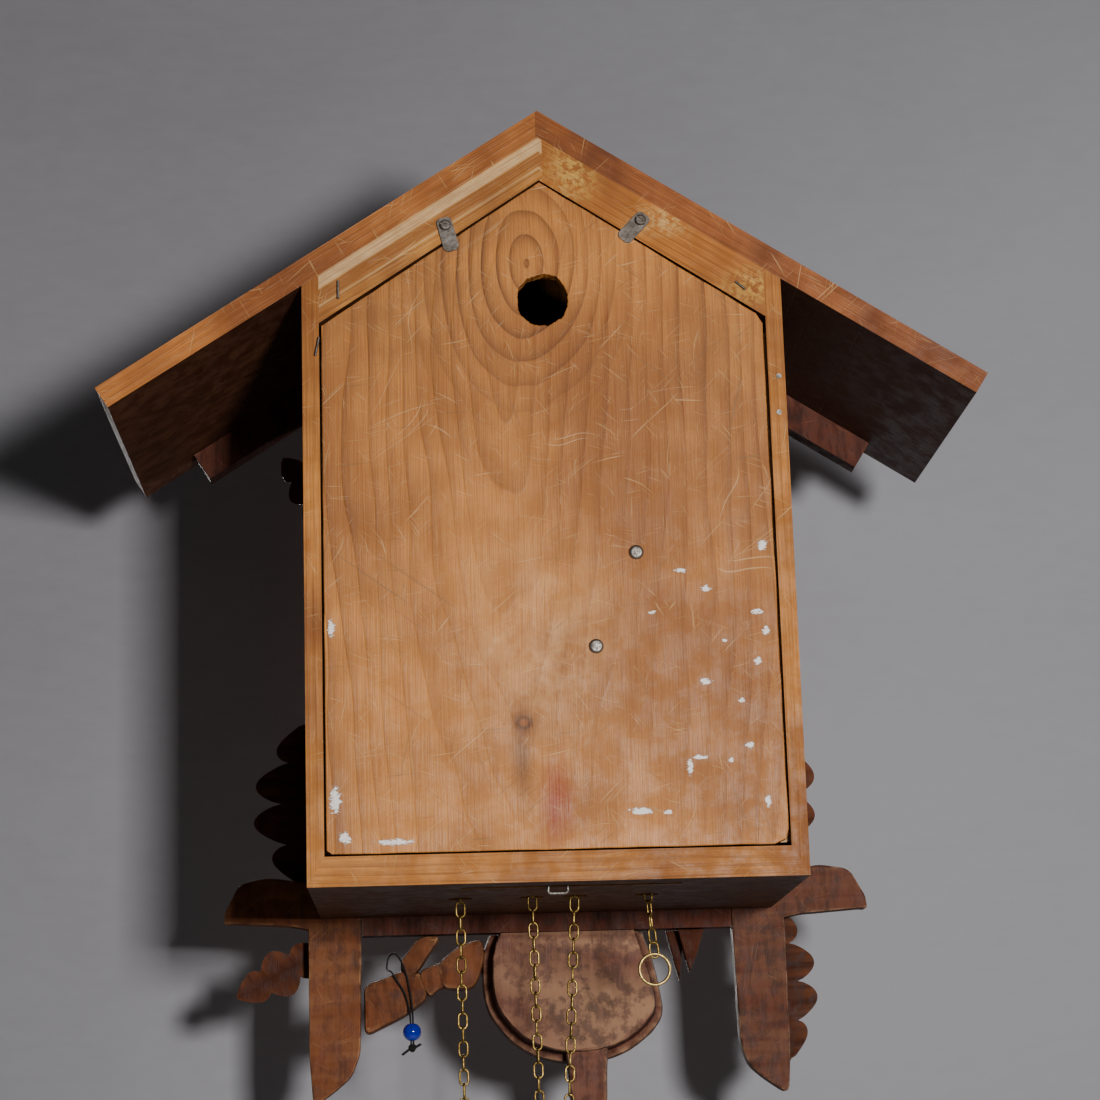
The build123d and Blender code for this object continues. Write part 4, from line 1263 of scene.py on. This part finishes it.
# the painted bird on the carriage that slides it out
def carvedCuckoo():
    build = bmesh.new()
    rings = []
    for y, z, wide, tall in smoothPath(birdCut["sections"], 5):
        ring = []
        for across, up in roundSteps(32):
            cut = 1 + 0.02 * noise.noise(Vector((across * 3, up * 3, y * 0.4)))
            place = (wide * cut * across * mm, y * mm, (z + tall * cut * up) * mm)
            ring.append(build.verts.new(place))
        rings.append(ring)
    skinRings(build, rings)
    x, y, z = birdCut["wingAt"]
    for side in (-1, 1):
        tilt = Euler((math.radians(-14), 0, math.radians(-5 * side))).to_matrix().to_4x4()
        at = Matrix.Translation(Vector((x * side, y, z)) * mm)
        place = at @ tilt @ Matrix.Diagonal(birdCut["wingSize"])
        made = bmesh.ops.create_uvsphere(build, u_segments=28, v_segments=16, radius=mm, matrix=place)
        for vertex in made["verts"]:  # feathers
            vertex.co.x += side * math.sin(vertex.co.y / mm * 2.4) * 0.16 * mm
    foot, head, tall = (size * mm for size in birdCut["post"])
    place = Matrix.Translation(Vector(birdCut["postAt"]) * mm)
    sizes = {"radius1": foot, "radius2": head, "depth": tall}
    bmesh.ops.create_cone(build, cap_ends=True, segments=24, matrix=place, **sizes)
    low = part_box("cuckoo")[0]
    sled = Matrix.Translation((0, -0.093, low.z + 0.0017)) @ Matrix.Diagonal(birdCut["sledSize"])
    made = bmesh.ops.create_cube(build, size=1, matrix=sled)
    edges = list({edge for vertex in made["verts"] for edge in vertex.link_edges})
    bmesh.ops.bevel(build, geom=edges, offset=0.0005, segments=2, affect="EDGES")
    addPiece("carvedCuckoo", meshFrom(build, "carvedCuckoo"), "cuckoo", "bird", ["cuckoo"], 50)


def cuckooEyes():
    build = bmesh.new()
    x, y, z = birdCut["eyeAt"]
    eye = birdCut["eye"] * mm
    for side in (-1, 1):
        place = Matrix.Translation(Vector((x * side, y, z)) * mm)
        bmesh.ops.create_uvsphere(build, u_segments=14, v_segments=8, radius=eye, matrix=place)
    addPiece("cuckooEyes", meshFrom(build, "cuckooEyes"), "cuckoo", "string", (), 60)


carvedCuckoo()
cuckooEyes()
print("dial and bird done")


linkSizes = {"Pitch": 0.0057, "Length": 0.0064, "Width": 0.0035, "Wire": 0.00045, "Sway": 0.12}


# oval links set along a path, each turned a quarter from the last
def linkGroup():
    group = bpy.data.node_groups.new("chainLinks", "GeometryNodeTree")
    face = group.interface
    face.new_socket("Geometry", in_out="INPUT", socket_type="NodeSocketGeometry")
    for label, value in linkSizes.items():
        socket = face.new_socket(label, in_out="INPUT", socket_type="NodeSocketFloat")
        socket.default_value = value
    face.new_socket("Material", in_out="INPUT", socket_type="NodeSocketMaterial")
    face.new_socket("Geometry", in_out="OUTPUT", socket_type="NodeSocketGeometry")
    given = makeNode(group, "NodeGroupInput").outputs
    sizes = {"Width": given["Width"], "Height": given["Length"]}
    box = makeNode(group, "GeometryNodeCurvePrimitiveQuadrilateral", sizes).outputs[0]
    corner = times(group, given["Width"], 0.499)
    oval = makeNode(group, "GeometryNodeFilletCurve", {"Curve": box, "Radius": corner}, mode="POLY")
    oval.inputs["Count"].default_value = 7
    wire = makeNode(group, "GeometryNodeCurvePrimitiveCircle", {"Radius": given["Wire"]})
    wire.inputs["Resolution"].default_value = 8
    curves = {"Curve": oval.outputs[0], "Profile Curve": wire.outputs[0]}
    link = makeNode(group, "GeometryNodeCurveToMesh", curves).outputs[0]
    # the flat link stands in X and Y; its length is turned onto Z
    flat = {"Geometry": link, "Rotation": (quarter, 0, 0)}
    upright = makeNode(group, "GeometryNodeTransform", flat).outputs[0]
    path = {"Curve": given["Geometry"], "Length": given["Pitch"]}
    steps = makeNode(group, "GeometryNodeResampleCurve", path, mode="LENGTH").outputs[0]
    tangent = makeNode(group, "GeometryNodeInputTangent").outputs[0]
    aim = makeNode(group, "FunctionNodeAlignRotationToVector", {"Vector": tangent}, axis="Z").outputs[0]
    index = makeNode(group, "GeometryNodeInputIndex").outputs[0]
    sway = makeNode(group, "FunctionNodeRandomValue", {"Seed": 4, "ID": index}, data_type="FLOAT")
    sway.inputs[2].default_value = -1.0
    sway.inputs[3].default_value = 1.0
    swing = times(group, sway.outputs[1], given["Sway"])
    spin = calc(group, "ADD", times(group, index, quarter), swing)
    # the short ringed strand is twisted below the case
    parts = split(group, makeNode(group, "GeometryNodeInputPosition").outputs[0])
    aside, below = calc(group, "LESS_THAN", parts[0], -0.036), calc(group, "LESS_THAN", parts[2], -0.24)
    twisted = times(group, aside, below)
    spin = calc(group, "SUBTRACT", spin, times(group, times(group, index, 0.9), twisted))
    own = makeNode(group, "ShaderNodeCombineXYZ", {2: spin}).outputs[0]
    turned = makeNode(group, "FunctionNodeRotateRotation", {0: aim, 1: own}, rotation_space="LOCAL")
    each = {"Points": steps, "Instance": upright, "Rotation": turned.outputs[0]}
    placed = makeNode(group, "GeometryNodeInstanceOnPoints", each).outputs[0]
    real = makeNode(group, "GeometryNodeRealizeInstances", {0: placed}).outputs[0]
    finish = {"Geometry": real, "Material": given["Material"]}
    coated = makeNode(group, "GeometryNodeSetMaterial", finish).outputs[0]
    makeNode(group, "NodeGroupOutput", {0: coated})
    return group


chainDepth = -0.060
chainPlaces = {  # millimetres across and up, from the hook over the sprocket to the ring
    "going": [
        (39, -338), (39.2, -290), (39, -240), (39, -205), (39, -174.6),
        (9, -174.6), (9, -205), (9, -240), (8.6, -290), (8.2, -336),
    ],
    "strike": [
        (-3.2, -338), (-6.0, -290), (-9, -242), (-9, -205), (-9, -174.6),
        (-39, -174.6), (-39, -205), (-39, -240), (-41.2, -265.2),
    ],
}
links = linkGroup()


# a smooth open spline with these control points, in metres
def routeCurve(name, points):
    curve = bpy.data.curves.new(name, "CURVE")
    curve.dimensions = "3D"
    curve.resolution_u = 24
    spline = curve.splines.new("NURBS")
    spline.points.add(len(points) - 1)
    for point, place in zip(spline.points, points):
        point.co = (*place, 1)
    spline.order_u = 3
    spline.use_endpoint_u = True
    return curve


# a chain of brass links from its hook over the sprocket to its ring
def chainPiece(name):
    points = [(x * mm, chainDepth, z * mm) for x, z in chainPlaces[name]]
    title = name + "Chain"
    line = meshOf(bpy.data.objects.new(title, routeCurve(title, points)))
    holder = bpy.data.objects.new(title, routeCurve(title, points))
    modifier = holder.modifiers.new("links", "NODES")
    modifier.node_group = links
    for item in links.interface.items_tree:
        if item.in_out == "INPUT" and item.name == "Material":
            modifier[item.identifier] = materials["chain"]
    mesh = meshOf(holder)
    piece = addPiece(title, mesh, "case", "chain", ["chain_" + name], 60)


for chainName in chainPlaces:
    chainPiece(chainName)

cordPoints = [  # millimetres, from the knot over the horn and back
    (60.2, -131.0, -298.3),
    (60.2, -131.0, -288.0),
    (60.5, -133.0, -281.0),
    (62.3, -133.1, -269.0),
    (64.4, -132.9, -262.5),
    (66.6, -133.4, -258.6),
    (69.0, -138.5, -257.2),
    (70.9, -144.0, -258.8),
    (71.8, -144.6, -263.2),
    (71.0, -139.0, -265.0),
    (69.6, -133.1, -265.4),
    (66.9, -132.9, -270.0),
    (63.4, -133.0, -275.5),
    (61.7, -132.9, -283.0),
    (61.2, -131.0, -288.3),
    (61.2, -131.0, -298.3),
]


knotCut = {  # millimetres
    "centre": (60.7, -131.0, -299.3),
    "radius": 1.7,
    "tails": [((0, 0), (1.5, -0.7), (4.6, -3.0)), ((0, 0), (-1.3, 0.2), (-3.8, 1.6))],
    "tailSize": (0.35, 0.5, 0.42),
}


# the knot under the bead: a lumpy ball with two loose ends
def cordKnot():
    build = bmesh.new()
    centre = Vector(knotCut["centre"]) * mm
    ball = Matrix.Translation(centre)
    bmesh.ops.create_uvsphere(build, u_segments=20, v_segments=12, radius=knotCut["radius"] * mm, matrix=ball)
    for vertex in build.verts:
        rest = vertex.co - centre
        wave = math.sin(math.atan2(rest.z, rest.x) * 3 + rest.y * 2500)
        vertex.co = centre + rest * (1 + 0.12 * wave)
    wide, deep, tall = knotCut["tailSize"]
    for tail in knotCut["tails"]:
        rings = []
        for x, z in tail:
            middle = centre + Vector((x, 0, z)) * mm
            ring = []
            for across, up in roundSteps(8):
                ring.append(build.verts.new(middle + Vector((wide * across, deep * up, tall * across)) * mm))
            rings.append(ring)
        skinRings(build, rings)
    return addPiece("cordKnot", meshFrom(build, "cordKnot"), "case", "string", (), 80)


# a thin black cord looped over the horn, its knot under the bead
def beadCord():
    points = inMetres(cordPoints)
    curve = routeCurve("beadCord", points)
    curve.bevel_depth = 0.0004
    curve.bevel_resolution = 2
    cord = bpy.data.objects.new("beadCord", curve)
    bpy.context.collection.objects.link(cord)
    curve.materials.append(materials["string"])
    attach(cord, "case")
    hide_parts("bead_cord")
    knot = cordKnot()
    line = meshOf(bpy.data.objects.new("cordLine", routeCurve("cordLine", points)))


beadCord()
print("cords done")


room = {
    "floorSpan": 4.0,
    "floorLevel": -1.1,
    "sheetAt": -0.25,
    "sheetSpan": 3,
    "sheetTop": 2,
    "floorTones": ((0.62, 0.62, 0.62, 1), (0.68, 0.68, 0.67, 1)),
    # dark and light ends of the cloth's mottle and of its painted light
    "sheetTones": ((0.175, 0.170, 0.186, 1), (0.275, 0.278, 0.305, 1)),
    "sky": (0.80, 0.84, 0.90, 1),
}


def flatObject(name, corners, face, material):
    mesh = bpy.data.meshes.new(name)
    mesh.from_pydata(corners, [], [face])
    mesh.materials.append(material)
    flat = bpy.data.objects.new(name, mesh)
    bpy.context.collection.objects.link(flat)
    return flat


def floorMaterial():
    material, tree, shader, place = newMaterial("paleFloor", **{"Roughness": 0.8})
    colour = blend(tree, cloud(tree, place, 3.0, 3.0), *room["floorTones"])
    tree.links.new(colour, shader.inputs["Base Color"])
    return material


# mottled grey cloth with a painted pool of light, lighter towards the key lamp's side and lower down; clear
# from behind and to shadows
def sheetMaterial():
    material, tree, shader, place = newMaterial("greySheet", **{"Roughness": 0.85})
    shade = cloud(tree, stretch(tree, place, (1, 1, 1.6)), 5.0, 3.0, 0.5, 0.4)
    parts = split(tree, place)
    # painted light: the cloth grows lighter towards -X and downwards, where the key lamp stands
    tilt = calc(tree, "ADD", times(tree, parts[0], 1.1), times(tree, parts[2], 0.9))
    tone = calc(tree, "ADD", spread(tree, tilt, -0.35, 0.35, 0.75, 0.1), times(tree, shade, 0.5))
    fine = cloud(tree, stretch(tree, place, (1, 1, 2.5)), 60, 4.0, 0.6)
    tone = calc(tree, "ADD", tone, times(tree, calc(tree, "SUBTRACT", fine, 0.5), 0.35))
    tree.links.new(blend(tree, tone, *room["sheetTones"]), shader.inputs["Base Color"])
    output = next(node for node in tree.nodes if node.type == "OUTPUT_MATERIAL")
    clear = makeNode(tree, "ShaderNodeBsdfTransparent").outputs[0]
    side = makeNode(tree, "ShaderNodeNewGeometry").outputs["Backfacing"]
    side = calc(tree, "MAXIMUM", side, makeNode(tree, "ShaderNodeLightPath").outputs["Is Shadow Ray"])
    mixed = makeNode(tree, "ShaderNodeMixShader", {0: side, 1: shader.outputs[0], 2: clear}).outputs[0]
    tree.links.new(mixed, output.inputs[0])
    return material


# a pale floor and a grey sheet behind the dial side, seen from one side only
def addStage():
    span, level = room["floorSpan"], room["floorLevel"]
    corners = [(-span, -span, level), (span, -span, level), (span, span, level), (-span, span, level)]
    ground = flatObject("floor", corners, (0, 1, 2, 3), floorMaterial())
    y, wide, top = room["sheetAt"], room["sheetSpan"], room["sheetTop"]
    corners = [(-wide, y, level), (wide, y, level), (wide, y, top), (-wide, y, top)]
    wall = flatObject("backdrop", corners, (3, 2, 1, 0), sheetMaterial())
    world = bpy.data.worlds.new("softRoom")
    world.use_nodes = True
    tree = world.node_tree
    sky = tree.nodes["Background"]
    sky.inputs[0].default_value = room["sky"]
    seen = makeNode(tree, "ShaderNodeLightPath").outputs["Is Camera Ray"]
    tree.links.new(calc(tree, "MULTIPLY_ADD", seen, 0.45, 0.022), sky.inputs[1])
    bpy.context.scene.world = world


addStage()
